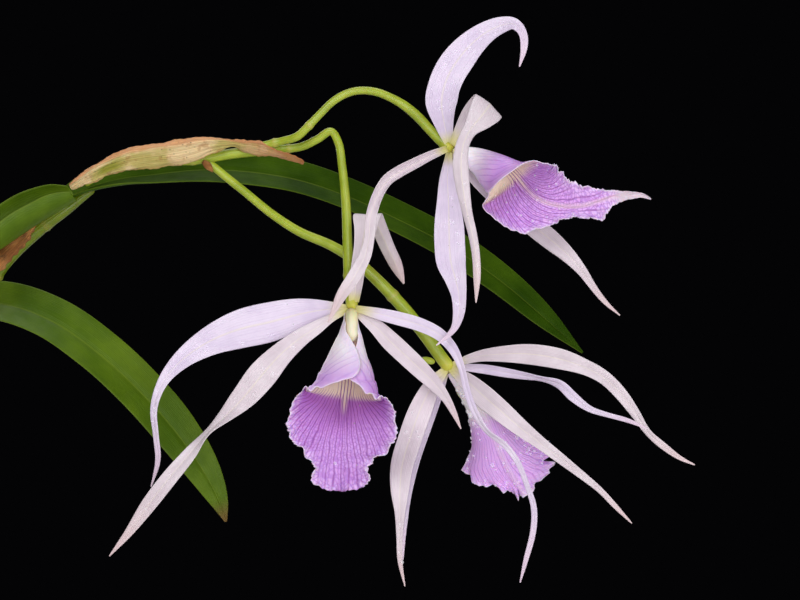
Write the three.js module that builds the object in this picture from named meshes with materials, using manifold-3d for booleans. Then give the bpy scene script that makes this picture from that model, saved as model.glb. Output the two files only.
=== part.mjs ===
// A potted orchid, in millimetres, +Z up. The origin is the middle of the pot's foot.
// Leaves, petals, sepals and lips are thin bands swept along a midrib; stalks are round rods.
import * as THREE from "three";
import { mergeVertices } from "three/addons/utils/BufferGeometryUtils.js";
import Module from "manifold-3d";

const wasm = await Module();
wasm.setup();

// Driving sizes.
const POT_HEIGHT = 115;
const POT_FOOT_RADIUS = 46;
const POT_TOP_RADIUS = 66;
const POT_WALL = 6;
const RIM_HEIGHT = 22;
const RIM_STEP = 4;
const POT_FLOOR = 8;
const DRAIN_HOLES = 4;
const DRAIN_RADIUS = 5;
const DRAIN_CIRCLE = 24;
const BARK_BOTTOM = 12;
const BARK_TOP = 100;
const SEAT_GAP = 0.35;
const RHIZOME_RADIUS = 4.5;
const ROOT_RADIUS = 1.7;
const TEPAL_THICKNESS = 0.9;
const LIP_THICKNESS = 0.8;
const LEAF_THICKNESS = 1.4;
const PAPER_THICKNESS = 0.7;
const ROD_SIDES = 8;

// The flowers are placed as a camera in front of them sees them: 800 by 600 steps of 0.36 mm at the
// plane of the flowers, which is 800 mm away. Depth is how far a point lies behind that plane.
const STEP = 0.36;
const EYE_DISTANCE = 800;
const VIEW_CENTRE = { px: 400, py: 300, x: 235, y: -20, z: 300 };
const BAND_STATIONS_PER_ROW = 1.5;

function at(px, py, depth) {
  const scale = (STEP * (EYE_DISTANCE + depth)) / EYE_DISTANCE;
  return [
    VIEW_CENTRE.x + (px - VIEW_CENTRE.px) * scale,
    VIEW_CENTRE.y + depth,
    VIEW_CENTRE.z + (VIEW_CENTRE.py - py) * scale,
  ];
}

// A centripetal Catmull-Rom curve through rows [place, value, value, ...]: place and values together.
function sampleRows(rows, count) {
  const flat = rows.map(([place, ...values]) => [...place, ...values]);
  const mix = (a, b, t) => a.map((v, i) => v + (b[i] - v) * t);
  const beyond = (a, b) => a.map((v, i) => 2 * v - b[i]);
  const last = flat.length - 1;
  const points = [beyond(flat[0], flat[1]), ...flat, beyond(flat[last], flat[last - 1])];
  const knots = [0];
  for (let i = 1; i < points.length; i++) {
    const gap = Math.hypot(...[0, 1, 2].map((k) => points[i][k] - points[i - 1][k]));
    knots.push(knots[i - 1] + Math.sqrt(gap));
  }
  const samples = [];
  for (let n = 0; n < count; n++) {
    const whole = (n / (count - 1)) * last;
    const i = Math.min(Math.floor(whole), last - 1) + 1;
    const t = knots[i] + (whole - i + 1) * (knots[i + 1] - knots[i]);
    const part = (a, b) => (t - knots[a]) / (knots[b] - knots[a]);
    const a1 = mix(points[i - 1], points[i], part(i - 1, i));
    const a2 = mix(points[i], points[i + 1], part(i, i + 1));
    const a3 = mix(points[i + 1], points[i + 2], part(i + 1, i + 2));
    const b1 = mix(a1, a2, part(i - 1, i + 1));
    const b2 = mix(a2, a3, part(i, i + 2));
    const c = mix(b1, b2, part(i, i + 1));
    samples.push({ place: new THREE.Vector3(c[0], c[1], c[2]), values: c.slice(3) });
  }
  return samples;
}

function tangentAt(samples, i) {
  const before = samples[Math.max(i - 1, 0)].place;
  const after = samples[Math.min(i + 1, samples.length - 1)].place;
  return after.clone().sub(before).normalize();
}

// A closed body through rings of equal count. The caps are either fans or strips between two faces.
function skin(rings, capAsStrip) {
  const ringSize = rings[0].length;
  const positions = rings.flat().flatMap((p) => [p.x, p.y, p.z]);
  const faces = [];
  for (let i = 0; i + 1 < rings.length; i++) {
    for (let j = 0; j < ringSize; j++) {
      const k = (j + 1) % ringSize;
      const [a, b] = [i * ringSize + j, i * ringSize + k];
      faces.push(a, b, b + ringSize, a, b + ringSize, a + ringSize);
    }
  }
  const lastRing = (rings.length - 1) * ringSize;
  for (let j = 1; j < ringSize - 1; j++) {
    if (capAsStrip) continue;
    faces.push(0, j + 1, j, lastRing, lastRing + j, lastRing + j + 1);
  }
  for (let j = 0; capAsStrip && j + 1 < ringSize / 2; j++) {
    const [a, b, c, d] = [j, j + 1, ringSize - 2 - j, ringSize - 1 - j];
    faces.push(a, c, b, a, d, c);
    faces.push(lastRing + a, lastRing + b, lastRing + c, lastRing + a, lastRing + c, lastRing + d);
  }
  const geometry = new THREE.BufferGeometry();
  geometry.setAttribute("position", new THREE.Float32BufferAttribute(positions, 3));
  geometry.setIndex(faces);
  geometry.computeVertexNormals();
  return geometry;
}

// A thin band. Rows are [place, half width, turn, bend], in mm and degrees: the band's hollow side looks
// towards "face", turned about the midrib by turn, and its section is an arc of half angle bend.
function bandGeometry(rows, thickness, { face = [0, -1, 0], across = 4, centred = false } = {}) {
  const count = Math.round((rows.length - 1) * BAND_STATIONS_PER_ROW) + 1;
  const samples = sampleRows(rows, count);
  const rings = samples.map(({ place, values }, i) => {
    const [halfWidth, turn, bend] = values;
    const along = tangentAt(samples, i);
    const flatSide = along.clone().cross(new THREE.Vector3(...face)).normalize();
    const flatUp = flatSide.clone().cross(along);
    const turned = THREE.MathUtils.degToRad(turn);
    const up = flatUp.clone().multiplyScalar(Math.cos(turned)).addScaledVector(flatSide, Math.sin(turned));
    const side = flatSide.multiplyScalar(Math.cos(turned)).addScaledVector(flatUp, -Math.sin(turned));
    const arc = THREE.MathUtils.degToRad(Math.max(bend, 1));
    const radius = halfWidth / arc;
    const shift = centred ? radius : 0;
    const facePoint = (j, offset) => {
      const angle = arc * ((2 * j) / (across - 1) - 1);
      return place
        .clone()
        .addScaledVector(side, (radius + offset) * Math.sin(angle))
        .addScaledVector(up, radius - shift - (radius + offset) * Math.cos(angle));
    };
    const order = [...Array(across).keys()];
    const inner = order.map((j) => facePoint(j, -thickness / 2));
    const outer = order.reverse().map((j) => facePoint(j, thickness / 2));
    return [...inner, ...outer];
  });
  return skin(rings, true);
}

// A round rod. Rows are [place, radius].
function rodGeometry(rows, stationsPerRow = 1.5) {
  const samples = sampleRows(rows, Math.round((rows.length - 1) * stationsPerRow) + 1);
  let side = null;
  const rings = samples.map(({ place, values }, i) => {
    const along = tangentAt(samples, i);
    const hint = side || new THREE.Vector3(along.y, along.z, along.x);
    side = hint.clone().addScaledVector(along, -hint.dot(along)).normalize();
    const other = along.clone().cross(side);
    return [...Array(ROD_SIDES).keys()].map((j) => {
      const angle = (2 * Math.PI * j) / ROD_SIDES;
      return place
        .clone()
        .addScaledVector(side, values[0] * Math.cos(angle))
        .addScaledVector(other, values[0] * Math.sin(angle));
    });
  });
  return skin(rings, false);
}

function toSolid(geometry) {
  const bare = geometry.clone();
  bare.deleteAttribute("normal");
  bare.deleteAttribute("uv");
  const merged = mergeVertices(bare);
  return new wasm.Manifold(
    new wasm.Mesh({
      numProp: 3,
      vertProperties: new Float32Array(merged.getAttribute("position").array),
      triVerts: new Uint32Array(merged.index.array),
    }),
  );
}

function fromSolid(solid) {
  const mesh = solid.getMesh();
  const geometry = new THREE.BufferGeometry();
  geometry.setAttribute("position", new THREE.BufferAttribute(mesh.vertProperties, 3));
  geometry.setIndex(new THREE.BufferAttribute(mesh.triVerts, 1));
  geometry.computeVertexNormals();
  return geometry;
}

const finish = (color, roughness) => new THREE.MeshStandardMaterial({ color, roughness, metalness: 0 });
const clay = finish(0xb5683f, 0.85);
const bark = finish(0x5a3b25, 0.95);
const dryPaper = finish(0xc3985f, 0.8);
const stemGreen = finish(0x93a82a, 0.5);
const leafGreen = finish(0x385514, 0.4);
const rootGrey = finish(0xa9a893, 0.85);
const whiteLilac = finish(0xe4d9e6, 0.6);
const lipLilac = finish(0xbd86cf, 0.6);
const columnCream = finish(0xf5eed9, 0.5);

const orchid = new THREE.Group();

function add(name, geometry, material) {
  if (toSolid(geometry).volume() < 0) {
    const faces = geometry.index.array;
    for (let i = 0; i < faces.length; i += 3) {
      [faces[i + 1], faces[i + 2]] = [faces[i + 2], faces[i + 1]];
    }
  }
  const mesh = new THREE.Mesh(geometry, material);
  mesh.name = name;
  orchid.add(mesh);
}

const addTepal = (name, rows, options) =>
  add(name, bandGeometry(rows, TEPAL_THICKNESS, options), whiteLilac);
const addLeaf = (name, rows, options) => add(name, bandGeometry(rows, LEAF_THICKNESS, options), leafGreen);
const addRod = (name, rows, material) => add(name, rodGeometry(rows), material);

// The pot: a tapered clay shell with a stepped rim and a ring of drain holes.
const latheFrom = (profile) => {
  const points = profile.map(([radius, height]) => new THREE.Vector2(radius, height));
  return new THREE.LatheGeometry(points, 32).rotateX(Math.PI / 2);
};

const rimBottom = POT_HEIGHT - RIM_HEIGHT;
const wallAt = (z) => POT_FOOT_RADIUS + ((POT_TOP_RADIUS - RIM_STEP - POT_FOOT_RADIUS) * z) / POT_HEIGHT;

function potGeometry() {
  let pot = toSolid(
    latheFrom([
      [0, 0],
      [POT_FOOT_RADIUS, 0],
      [wallAt(rimBottom), rimBottom],
      [POT_TOP_RADIUS - 1, rimBottom],
      [POT_TOP_RADIUS, POT_HEIGHT],
      [wallAt(POT_HEIGHT) - POT_WALL, POT_HEIGHT],
      [wallAt(POT_FLOOR) - POT_WALL, POT_FLOOR],
      [0, POT_FLOOR],
    ]),
  );
  if (pot.volume() < 0) throw new Error("the pot is inside out");
  for (let i = 0; i < DRAIN_HOLES; i++) {
    const angle = ((i + 0.5) * 2 * Math.PI) / DRAIN_HOLES;
    const hole = new THREE.CylinderGeometry(DRAIN_RADIUS, DRAIN_RADIUS, POT_FLOOR * 3, 16);
    hole.rotateX(Math.PI / 2);
    hole.translate(DRAIN_CIRCLE * Math.cos(angle), DRAIN_CIRCLE * Math.sin(angle), 0);
    pot = pot.subtract(toSolid(hole));
  }
  return fromSolid(pot);
}

add("pot", potGeometry(), clay);

// The growing medium fills the pot to a little below the rim.
const barkRadius = (z) => wallAt(z) - POT_WALL - SEAT_GAP;
add(
  "growing_medium",
  latheFrom([
    [0, BARK_BOTTOM],
    [barkRadius(BARK_BOTTOM), BARK_BOTTOM],
    [barkRadius(BARK_TOP), BARK_TOP],
    [0, BARK_TOP],
  ]),
  bark,
);

// The rhizome creeps over the bark, and the canes stand on it from the oldest to the youngest.
const rhizomeZ = BARK_TOP + RHIZOME_RADIUS + SEAT_GAP;
const caneFoot = rhizomeZ + RHIZOME_RADIUS + 2 * SEAT_GAP;
addRod(
  "rhizome",
  [
    [[-48, 24, rhizomeZ], 3],
    [[-40, 18, rhizomeZ], RHIZOME_RADIUS],
    [[-24, 4, rhizomeZ], RHIZOME_RADIUS],
    [[-5, 5, rhizomeZ], RHIZOME_RADIUS],
    [[14, -4, rhizomeZ], RHIZOME_RADIUS],
    [[23, -9, rhizomeZ], 3],
  ],
  stemGreen,
);

const CANES = {
  flowering: [
    [[14, -4, caneFoot], 3.6],
    [[18, -5, 140], 5],
    [[26, -6, 175], 5],
    [[38, -6, 210], 4.6],
    [[55, -6, 250], 4.2],
    [[72, -6, 284], 3.8],
    [at(0, 266, 14), 3.4],
    [at(38, 231, 13), 3],
    [at(66, 215, 12), 2.4],
    [at(92, 200, 12), 2.1],
  ],
  second: [
    [[-5, 5, caneFoot], 3.6],
    [[-4, 9, 145], 5],
    [[4, 13, 185], 4.6],
    [[16, 15, 225], 4],
    [[28, 14.2, 262.3], 3],
  ],
  left: [
    [[-24, 4, caneFoot], 3.6],
    [[-33, -6, 145], 5],
    [[-45, -14, 185], 4.4],
    [[-56, -20, 222], 3],
  ],
  back: [
    [[-40, 18, caneFoot], 3.6],
    [[-38, 30, 140], 4.8],
    [[-35, 44, 175], 4.4],
    [[-33, 55, 205], 3],
  ],
};
for (const [name, rows] of Object.entries(CANES)) addRod(`cane_${name}`, rows, stemGreen);

// Aerial roots: three run over the bark, one hangs over the rim.
const rootZ = BARK_TOP + ROOT_RADIUS + SEAT_GAP;
const rootOnBark = (name, places) =>
  addRod(
    name,
    places.map(([x, y], i) => [[x, y, rootZ], i === places.length - 1 ? 0.9 : ROOT_RADIUS]),
    rootGrey,
  );
rootOnBark("root_front", [[16, -12], [26, -26], [30, -33], [34, -37]]);
rootOnBark("root_left", [[-28, -3.4], [-35, -18], [-31, -34], [-22, -46]]);
rootOnBark("root_back", [[-1, 11.6], [5, 24], [17, 36], [20, 46]]);
addRod(
  "root_hanging",
  [
    [[-39.4, 25.3, 105.5], ROOT_RADIUS],
    [[-41, 29, 112], ROOT_RADIUS],
    [[-44, 32, 118.5], ROOT_RADIUS],
    [[-50, 37, 120.5], ROOT_RADIUS],
    [[-56, 41.5, 117.5], ROOT_RADIUS],
    [[-58.5, 44, 109], ROOT_RADIUS],
    [[-57, 44, 93], ROOT_RADIUS],
    [[-53, 42, 74], ROOT_RADIUS],
    [[-54, 38, 60], 0.9],
  ],
  rootGrey,
);

// Leaves. The first three are the ones beside the flowers, the others are on the older canes.
addLeaf(
  "leaf_right",
  [
    [at(95, 198, 12), 2, 0, 50],
    [at(112, 186, 14), 4.2, 0, 58],
    [at(150, 173, 16), 6.5, 0, 45],
    [at(200, 168, 19), 8.5, 0, 35],
    [at(250, 170.5, 23), 8.9, 0, 28],
    [at(300, 180, 27), 8.9, 0, 24],
    [at(350, 198, 30), 8.9, 0, 22],
    [at(400, 221, 33), 8.8, 0, 22],
    [at(450, 247, 35), 8.4, 0, 22],
    [at(500, 281, 36), 7.4, 0, 20],
    [at(545, 319, 37), 5.2, 0, 18],
    [at(583, 353, 38), 0.6, 0, 10],
  ],
  { face: [0, -0.7, 0.7] },
);
addLeaf(
  "leaf_left",
  [
    [at(97, 188, 8), 3, 0, 45],
    [at(80, 197, 8), 5.5, 0, 55],
    [at(60, 206.5, 8), 7.8, 0, 58],
    [at(38, 217.6, 7), 9.5, 0, 56],
    [at(18, 231.5, 6), 10.5, 0, 55],
    [at(-4, 246, 5), 11.2, 0, 50],
    [at(-45, 279, 2), 12, 0, 42],
    [at(-95, 325, -3), 12.5, 0, 36],
    [at(-150, 387, -9), 12, 0, 32],
    [at(-205, 460, -15), 9.8, 0, 28],
    [at(-252, 535, -20), 5.8, 0, 24],
    [at(-280, 590, -23), 0.6, 0, 10],
  ],
  { face: [0, -0.15, 1] },
);
addLeaf(
  "leaf_lower",
  [
    [at(-150, 397, 34), 4, 0, 60],
    [at(-118, 346, 33), 6.8, 0, 45],
    [at(-65, 308, 32), 8.6, 0, 32],
    [at(0, 301, 30), 9.4, 0, 26],
    [at(52, 317, 30), 9.8, 0, 24],
    [at(100, 350, 30), 10, 0, 24],
    [at(140, 386, 31), 10, 0, 24],
    [at(175, 425, 32), 9.4, 0, 22],
    [at(205, 467, 33), 7.2, 0, 20],
    [at(221, 500, 34), 3.8, 0, 15],
    [at(226, 522, 34), 0.6, 0, 10],
  ],
  { face: [0, -0.75, 0.66] },
);
addLeaf(
  "leaf_second_back",
  [
    [[27, 18.3, 260.6], 2.4, 0, 50],
    [[20, 34, 276], 7, 0, 40],
    [[10, 66, 290], 9.5, 0, 30],
    [[-2, 104, 284], 10, 0, 26],
    [[-12, 138, 260], 8.5, 0, 24],
    [[-18, 160, 230], 5, 0, 18],
    [[-20, 170, 208], 0.6, 0, 10],
  ],
  { face: [0, 0.1, 1] },
);
addLeaf(
  "leaf_far_left",
  [
    [[-56.9, -20.2, 222.8], 2.4, 0, 50],
    [[-72, -26, 243], 7, 0, 42],
    [[-98, -37, 258], 9.6, 0, 32],
    [[-134, -48, 254], 10.2, 0, 26],
    [[-165, -56, 230], 8.4, 0, 24],
    [[-183, -60, 202], 5, 0, 18],
    [[-190, -62, 182], 0.6, 0, 10],
  ],
  { face: [-0.1, 0, 1] },
);
addLeaf(
  "leaf_front",
  [
    [[-55, -24, 221.6], 2.2, 0, 50],
    [[-52, -38, 238], 6.6, 0, 42],
    [[-46, -62, 248], 9, 0, 32],
    [[-37, -92, 238], 9.4, 0, 26],
    [[-29, -114, 213], 7.4, 0, 24],
    [[-24, -125, 188], 4.2, 0, 18],
    [[-22, -129, 170], 0.6, 0, 10],
  ],
  { face: [0, -0.1, 1] },
);
addLeaf(
  "leaf_back",
  [
    [[-33, 55.8, 205.9], 2.4, 0, 50],
    [[-37, 70, 223], 7, 0, 40],
    [[-46, 98, 237], 9.4, 0, 30],
    [[-56, 130, 234], 9.8, 0, 26],
    [[-64, 158, 212], 8, 0, 24],
    [[-69, 174, 186], 4.6, 0, 18],
    [[-71, 181, 166], 0.6, 0, 10],
  ],
  { face: [0, 0.1, 1] },
);

// Dry sheaths wrap a stretch of a cane: a torn one high on the flowering cane, a husk low on each.
const SHEATH_CLEARANCE = 1.4;
function addSheath(name, caneRows, from, to, bends, face) {
  const stations = 61;
  const samples = sampleRows(caneRows, stations);
  const rows = bends.map((bend, i) => {
    const share = from + ((to - from) * i) / (bends.length - 1);
    const { place, values } = samples[Math.round(share * (stations - 1))];
    const radius = values[0] + SHEATH_CLEARANCE;
    return [place.toArray(), radius * THREE.MathUtils.degToRad(bend), 0, bend];
  });
  add(name, bandGeometry(rows, PAPER_THICKNESS, { face, across: 7, centred: true }), dryPaper);
}
addSheath("sheath_upper", CANES.flowering, 0.64, 0.8, [70, 85, 75, 25], [0.5, 0.6, -0.6]);
addSheath("husk_flowering", CANES.flowering, 0.05, 0.22, [150, 150, 140, 90], [0, 1, 0]);
addSheath("husk_second", CANES.second, 0.1, 0.35, [140, 140, 130, 80], [0.3, 1, 0]);
addSheath("husk_left", CANES.left, 0.12, 0.45, [140, 140, 130, 80], [0.5, 1, 0]);
addSheath("husk_back", CANES.back, 0.12, 0.48, [140, 140, 130, 80], [-0.5, 1, 0]);

// The flower stalk leaves the top of the flowering cane inside a papery spathe.
addRod(
  "flower_stalk",
  [
    [at(100, 190, 6.5), 1.5],
    [at(125, 177, 6), 1.8],
    [at(150, 168.5, 6), 1.9],
    [at(190, 161.5, 6), 1.9],
    [at(230, 154, 6), 1.9],
    [at(262, 150, 6), 1.9],
  ],
  stemGreen,
);
add(
  "spathe",
  bandGeometry(
    [
      [at(78, 187, 3), 0.9, 0, 20],
      [at(100, 170.5, 1.5), 2.2, 0, 50],
      [at(130, 159, 0.5), 3.8, 0, 60],
      [at(155, 156, 0), 4.9, 0, 62],
      [at(178, 152.5, 0), 5.2, 0, 62],
      [at(202, 146, 0.5), 4, 0, 60],
      [at(222, 144, 1), 2.4, 0, 55],
      [at(239, 144, 1.5), 1.6, 40, 50],
      [at(254, 148, 2), 2.7, 0, 50],
      [at(272, 151, 2), 2, 0, 45],
      [at(304, 164, 1), 0.4, 0, 20],
    ],
    PAPER_THICKNESS,
    { face: [0, 1, 0], across: 5 },
  ),
  dryPaper,
);

// Pedicels, one to each flower, a brown bract where the lowest leaves the stalk, and a small green bud.
addRod(
  "pedicel_1",
  [
    [at(268.5, 149.5, 6), 1.7],
    [at(300, 147, 5), 1.7],
    [at(317, 139.5, 4), 1.7],
    [at(331, 131.5, 3), 1.6],
    [at(338.5, 143, 2.5), 1.6],
    [at(342, 165, 2), 1.6],
    [at(346, 205, 1.6), 1.7],
    [at(347.5, 245, 1.6), 1.8],
    [at(349, 280, 2.2), 1.9],
    [at(350.5, 295, 2.4), 1.9],
    [at(352, 305, 1.4), 2.2],
    [at(352.4, 312.3, 0.4), 1.4],
  ],
  stemGreen,
);
addRod(
  "pedicel_2",
  [
    [at(266, 139.5, 4.6), 1.5],
    [at(282, 141, 2.5), 1.6],
    [at(297, 136.5, 0), 1.7],
    [at(310, 124.5, -1), 1.7],
    [at(322, 112, -1), 1.6],
    [at(333, 101.5, -1), 1.6],
    [at(346, 93.8, -1), 1.6],
    [at(360, 90.5, -1), 1.6],
    [at(376, 92, -1), 1.6],
    [at(391, 97.8, -1), 1.6],
    [at(405, 106, 0), 1.7],
    [at(418, 117, 1.6), 1.8],
    [at(431, 131, 3), 1.8],
    [at(441, 141, 3), 1.9],
    [at(449, 147.5, 1.8), 2.2],
    [at(451.5, 149.8, 1), 1.5],
  ],
  stemGreen,
);
addRod(
  "pedicel_3",
  [
    [at(214, 166.4, 7), 1.7],
    [at(245, 192, 8.5), 1.8],
    [at(272, 214, 9), 1.8],
    [at(300, 232, 9), 1.9],
    [at(330, 245, 9), 2],
    [at(355, 260, 9), 2.1],
    [at(373, 276, 9.5), 2.2],
    [at(390, 293, 10.5), 2.3],
    [at(407, 312, 11.5), 2.4],
    [at(425, 335, 12.4), 2.4],
    [at(441, 357, 13), 2.4],
    [at(448, 366.5, 13), 2.3],
    [at(450.3, 370.3, 13), 1.5],
  ],
  stemGreen,
);
add(
  "bract",
  bandGeometry(
    [
      [at(202, 161, 3), 1, 0, 30],
      [at(210, 167, 3), 2, 0, 35],
      [at(218, 175, 4.2), 0.4, 0, 20],
    ],
    PAPER_THICKNESS,
    { face: [0, 1, 0] },
  ),
  dryPaper,
);
addRod(
  "small_bud",
  [
    [at(422, 359, 12), 0.3],
    [at(425, 359.5, 12), 1],
    [at(430, 361, 12), 1.25],
    [at(433.8, 361.5, 12), 0.9],
  ],
  stemGreen,
);

// Flower 1, seen from the front.
addTepal(
  "flower_1_dorsal_sepal",
  [
    [at(355, 297.5, -0.6), 1.9, -90, 20],
    [at(356, 284, -1), 2.7, -90, 30],
    [at(358.5, 266, -1.3), 2.9, -90, 35],
    [at(362, 246, -1.2), 3.3, -90, 35],
    [at(365, 229, -0.6), 4.2, -90, 25],
    [at(366.5, 217.5, 2), 5, -90, 10],
    [at(370, 215.5, 6), 4.6, -90, 10],
    [at(378, 226, 10.5), 3.2, -90, 20],
    [at(388, 248, 14), 2.8, -90, 30],
    [at(397, 267, 16), 2.4, -90, 30],
    [at(404, 284, 17), 0.5, -90, 20],
  ],
  { face: [1, 0, 0] },
);
addTepal("flower_1_left_petal", [
  [at(344.8, 308, 1.2), 1.4, 0, 20],
  [at(322, 310, 1), 3.7, 0, 15],
  [at(300, 314, 0), 5.7, 0, 12],
  [at(270, 322, -2), 7.2, 0, 12],
  [at(240, 329, -4), 7, 0, 14],
  [at(210, 341, -6), 5.4, 0, 20],
  [at(182, 360, -8), 3.5, 0, 25],
  [at(163, 382, -9), 2, 0, 30],
  [at(154, 408, -9), 1.4, 20, 25],
  [at(156, 435, -8), 1.2, 30, 20],
  [at(158, 460, -7), 1, 10, 20],
  [at(151, 487, -6), 0.4, 0, 10],
]);
addTepal("flower_1_left_sepal", [
  [at(344.9, 311.9, -0.6), 0.9, 0, 20],
  [at(332, 317.8, -1.7), 1.5, 0, 25],
  [at(317, 327.5, -3.2), 2.5, 0, 25],
  [at(301, 337.5, -5), 3.2, 0, 20],
  [at(281, 354, -7.5), 4.2, 0, 15],
  [at(262, 375, -10), 5.3, 0, 12],
  [at(244, 397, -12), 4.5, 0, 14],
  [at(224, 418, -13.5), 2.9, 30, 20],
  [at(208, 433, -14.5), 2.4, 62, 25],
  [at(190, 454, -15), 2.6, 25, 22],
  [at(170, 477, -15), 2.9, 5, 18],
  [at(150, 503, -14), 2.8, 0, 16],
  [at(130, 531, -12.5), 1.6, 0, 16],
  [at(109, 556.5, -11), 0.4, 0, 10],
]);
addTepal("flower_1_right_petal", [
  [at(358.8, 309, -0.6), 1.2, 0, 20],
  [at(380, 314, -1.6), 2.2, 0, 22],
  [at(400, 319, -3), 2.5, 0, 22],
  [at(420, 325, -5), 2.5, 0, 22],
  [at(440, 335, -6.5), 2.3, 0, 24],
  [at(454, 350, -7.5), 1.9, 10, 26],
  [at(462, 368, -8), 1.4, 20, 26],
  [at(467, 390, -8), 1.3, 10, 26],
  [at(474, 410, -7.5), 1.4, 20, 24],
  [at(487, 431, -6), 1.3, 50, 22],
  [at(503, 443, -4), 1.2, 30, 22],
  [at(517, 461, -2.5), 1.1, 0, 20],
  [at(527, 485, -1.5), 1, 0, 20],
  [at(534, 508, -1), 1.1, 0, 20],
  [at(533, 532, -0.5), 1.1, 0, 20],
  [at(526, 559, 0), 0.9, 0, 18],
  [at(520, 583, 0.5), 0.4, 0, 10],
]);
addTepal("flower_1_right_sepal", [
  [at(358, 313.8, 1.3), 1.1, 0, 20],
  [at(375, 326, 1.3), 2.7, 0, 20],
  [at(390, 341, 1.8), 3.5, 0, 16],
  [at(405, 355, 2.2), 3.6, 0, 16],
  [at(420, 369, 2.4), 3.4, 0, 16],
  [at(435, 384, 2), 2.7, 0, 18],
  [at(446, 398, 1), 1.7, 0, 20],
  [at(454, 413, 0), 1.1, 0, 20],
  [at(461, 429, -1), 0.4, 0, 10],
]);

const addLip = (name, rows, face) =>
  add(name, bandGeometry(rows, LIP_THICKNESS, { face, across: 9 }), lipLilac);
const addColumn = (name, rows) => addRod(name, rows, columnCream);

addLip(
  "flower_1_lip",
  [
    [at(352, 314.9, 0.8), 2.8, 0, 80],
    [at(352, 331, 0.6), 6.3, 0, 100],
    [at(351.5, 345, 0.2), 12.2, 0, 128],
    [at(350, 360, -0.6), 18.5, 0, 144],
    [at(348, 374, -2), 20, 0, 116],
    [at(346, 388, -4), 19, 0, 75],
    [at(344, 403, -6), 20.2, 0, 46],
    [at(343, 420, -8), 21, 0, 30],
    [at(341.5, 438, -9.5), 19, 0, 25],
    [at(341, 455, -10.5), 14.6, 0, 22],
    [at(341, 468, -11), 9.6, 0, 20],
    [at(341, 480, -11.5), 10.4, 0, 18],
    [at(340, 491, -12), 5.5, 0, 15],
  ],
  [0, -1, 0],
);
addColumn("flower_1_column", [
  [at(352, 312.6, -2.1), 1.3],
  [at(352, 325, -3.6), 1.8],
  [at(352, 336, -5), 2.1],
  [at(352, 343.5, -6), 1.6],
]);

// Flower 2, upper right, its lip pointing to the right.
addTepal("flower_2_dorsal_sepal", [
  [at(447.8, 140.3, -0.6), 1.5, 0, 20],
  [at(444, 122, 0.6), 3.9, 0, 30],
  [at(441.5, 103, 1), 6.1, 0, 32],
  [at(444, 87, 1), 6.2, 0, 32],
  [at(450, 72, 1), 6.2, 0, 30],
  [at(458.5, 59, 1), 6, 0, 28],
  [at(470, 45.5, 0.5), 5.2, 0, 26],
  [at(486, 32.5, -0.5), 4, 0, 24],
  [at(501, 25.5, -2), 3.1, 0, 22],
  [at(514, 24, -3.5), 2.2, 0, 20],
  [at(522.5, 33, -4.5), 1.6, 0, 20],
  [at(524, 47, -5), 1.3, 0, 18],
  [at(519.5, 67, -5), 0.4, 0, 10],
]);
addTepal(
  "flower_2_near_petal",
  [
    [at(453.6, 142.6, -0.8), 1.1, -90, 20],
    [at(463, 128, -7), 3.6, -90, 20],
    [at(473, 115, -13), 6.2, -90, 15],
    [at(479, 107, -20), 6.6, -90, 12],
    [at(478, 110, -27), 5.4, -90, 16],
    [at(470, 124, -31), 3.6, -90, 24],
    [at(464, 143, -32), 3, -90, 28],
    [at(461.5, 166, -31), 2.9, -90, 28],
    [at(464, 190, -30), 2.6, -90, 26],
    [at(469, 215, -29), 2, -90, 24],
    [at(473, 241, -28), 1.5, -90, 22],
    [at(476.5, 271, -27), 1.3, -90, 20],
    [at(476, 304, -26), 0.4, -90, 10],
  ],
  { face: [1, 0, 0] },
);
addTepal("flower_2_far_petal", [
  [at(443.9, 149.3, -0.5), 1.4, 0, 60],
  [at(430, 156, -3), 2.4, 0, 90],
  [at(415, 164, -5), 3.2, 0, 105],
  [at(400, 172, -6.5), 3.4, 0, 105],
  [at(387, 181, -8), 3.3, 0, 105],
  [at(377, 197, -9), 2.9, 0, 95],
  [at(370.5, 217, -9.5), 2.4, 0, 70],
  [at(369, 238, -9.5), 2, 0, 40],
  [at(365, 256, -9.5), 2.3, 0, 30],
  [at(354, 277, -9.8), 2.5, 0, 25],
  [at(341.5, 296, -10.2), 2, 0, 25],
  [at(328, 322.5, -11), 0.4, 0, 10],
]);
addTepal("flower_2_lower_sepal", [
  [at(448.3, 155.6, 1.9), 1.2, 0, 20],
  [at(447.5, 180, 3.5), 3, 0, 25],
  [at(448.5, 202, 4), 4.3, 0, 22],
  [at(449, 226, 3.5), 5.5, 0, 20],
  [at(449.5, 247, 2.5), 5.7, 0, 20],
  [at(451, 263, 1), 5.5, 0, 20],
  [at(455.5, 279, -1), 4.2, 0, 24],
  [at(459, 296, -3.5), 2.9, 0, 26],
  [at(459, 313, -6.5), 2.2, 0, 26],
  [at(454.5, 328, -9), 1.3, 0, 22],
  [at(445.5, 338, -10.5), 0.7, 0, 15],
  [at(436, 345.5, -11.5), 0.4, 0, 10],
]);
addTepal("flower_2_far_sepal", [
  [at(454.2, 153.6, 3.2), 1.1, 0, 20],
  [at(476, 178, 9), 2.7, 0, 20],
  [at(500, 200, 12.5), 3.4, 0, 18],
  [at(528, 222, 13), 3.8, 0, 16],
  [at(551, 240, 12), 3.7, 0, 16],
  [at(568, 255, 10.5), 2.8, 0, 18],
  [at(582, 271, 9), 1.9, 0, 20],
  [at(593, 287, 7.5), 1.3, 0, 20],
  [at(605, 302, 6), 0.9, 0, 18],
  [at(620, 315.5, 5), 0.4, 0, 10],
]);
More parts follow.
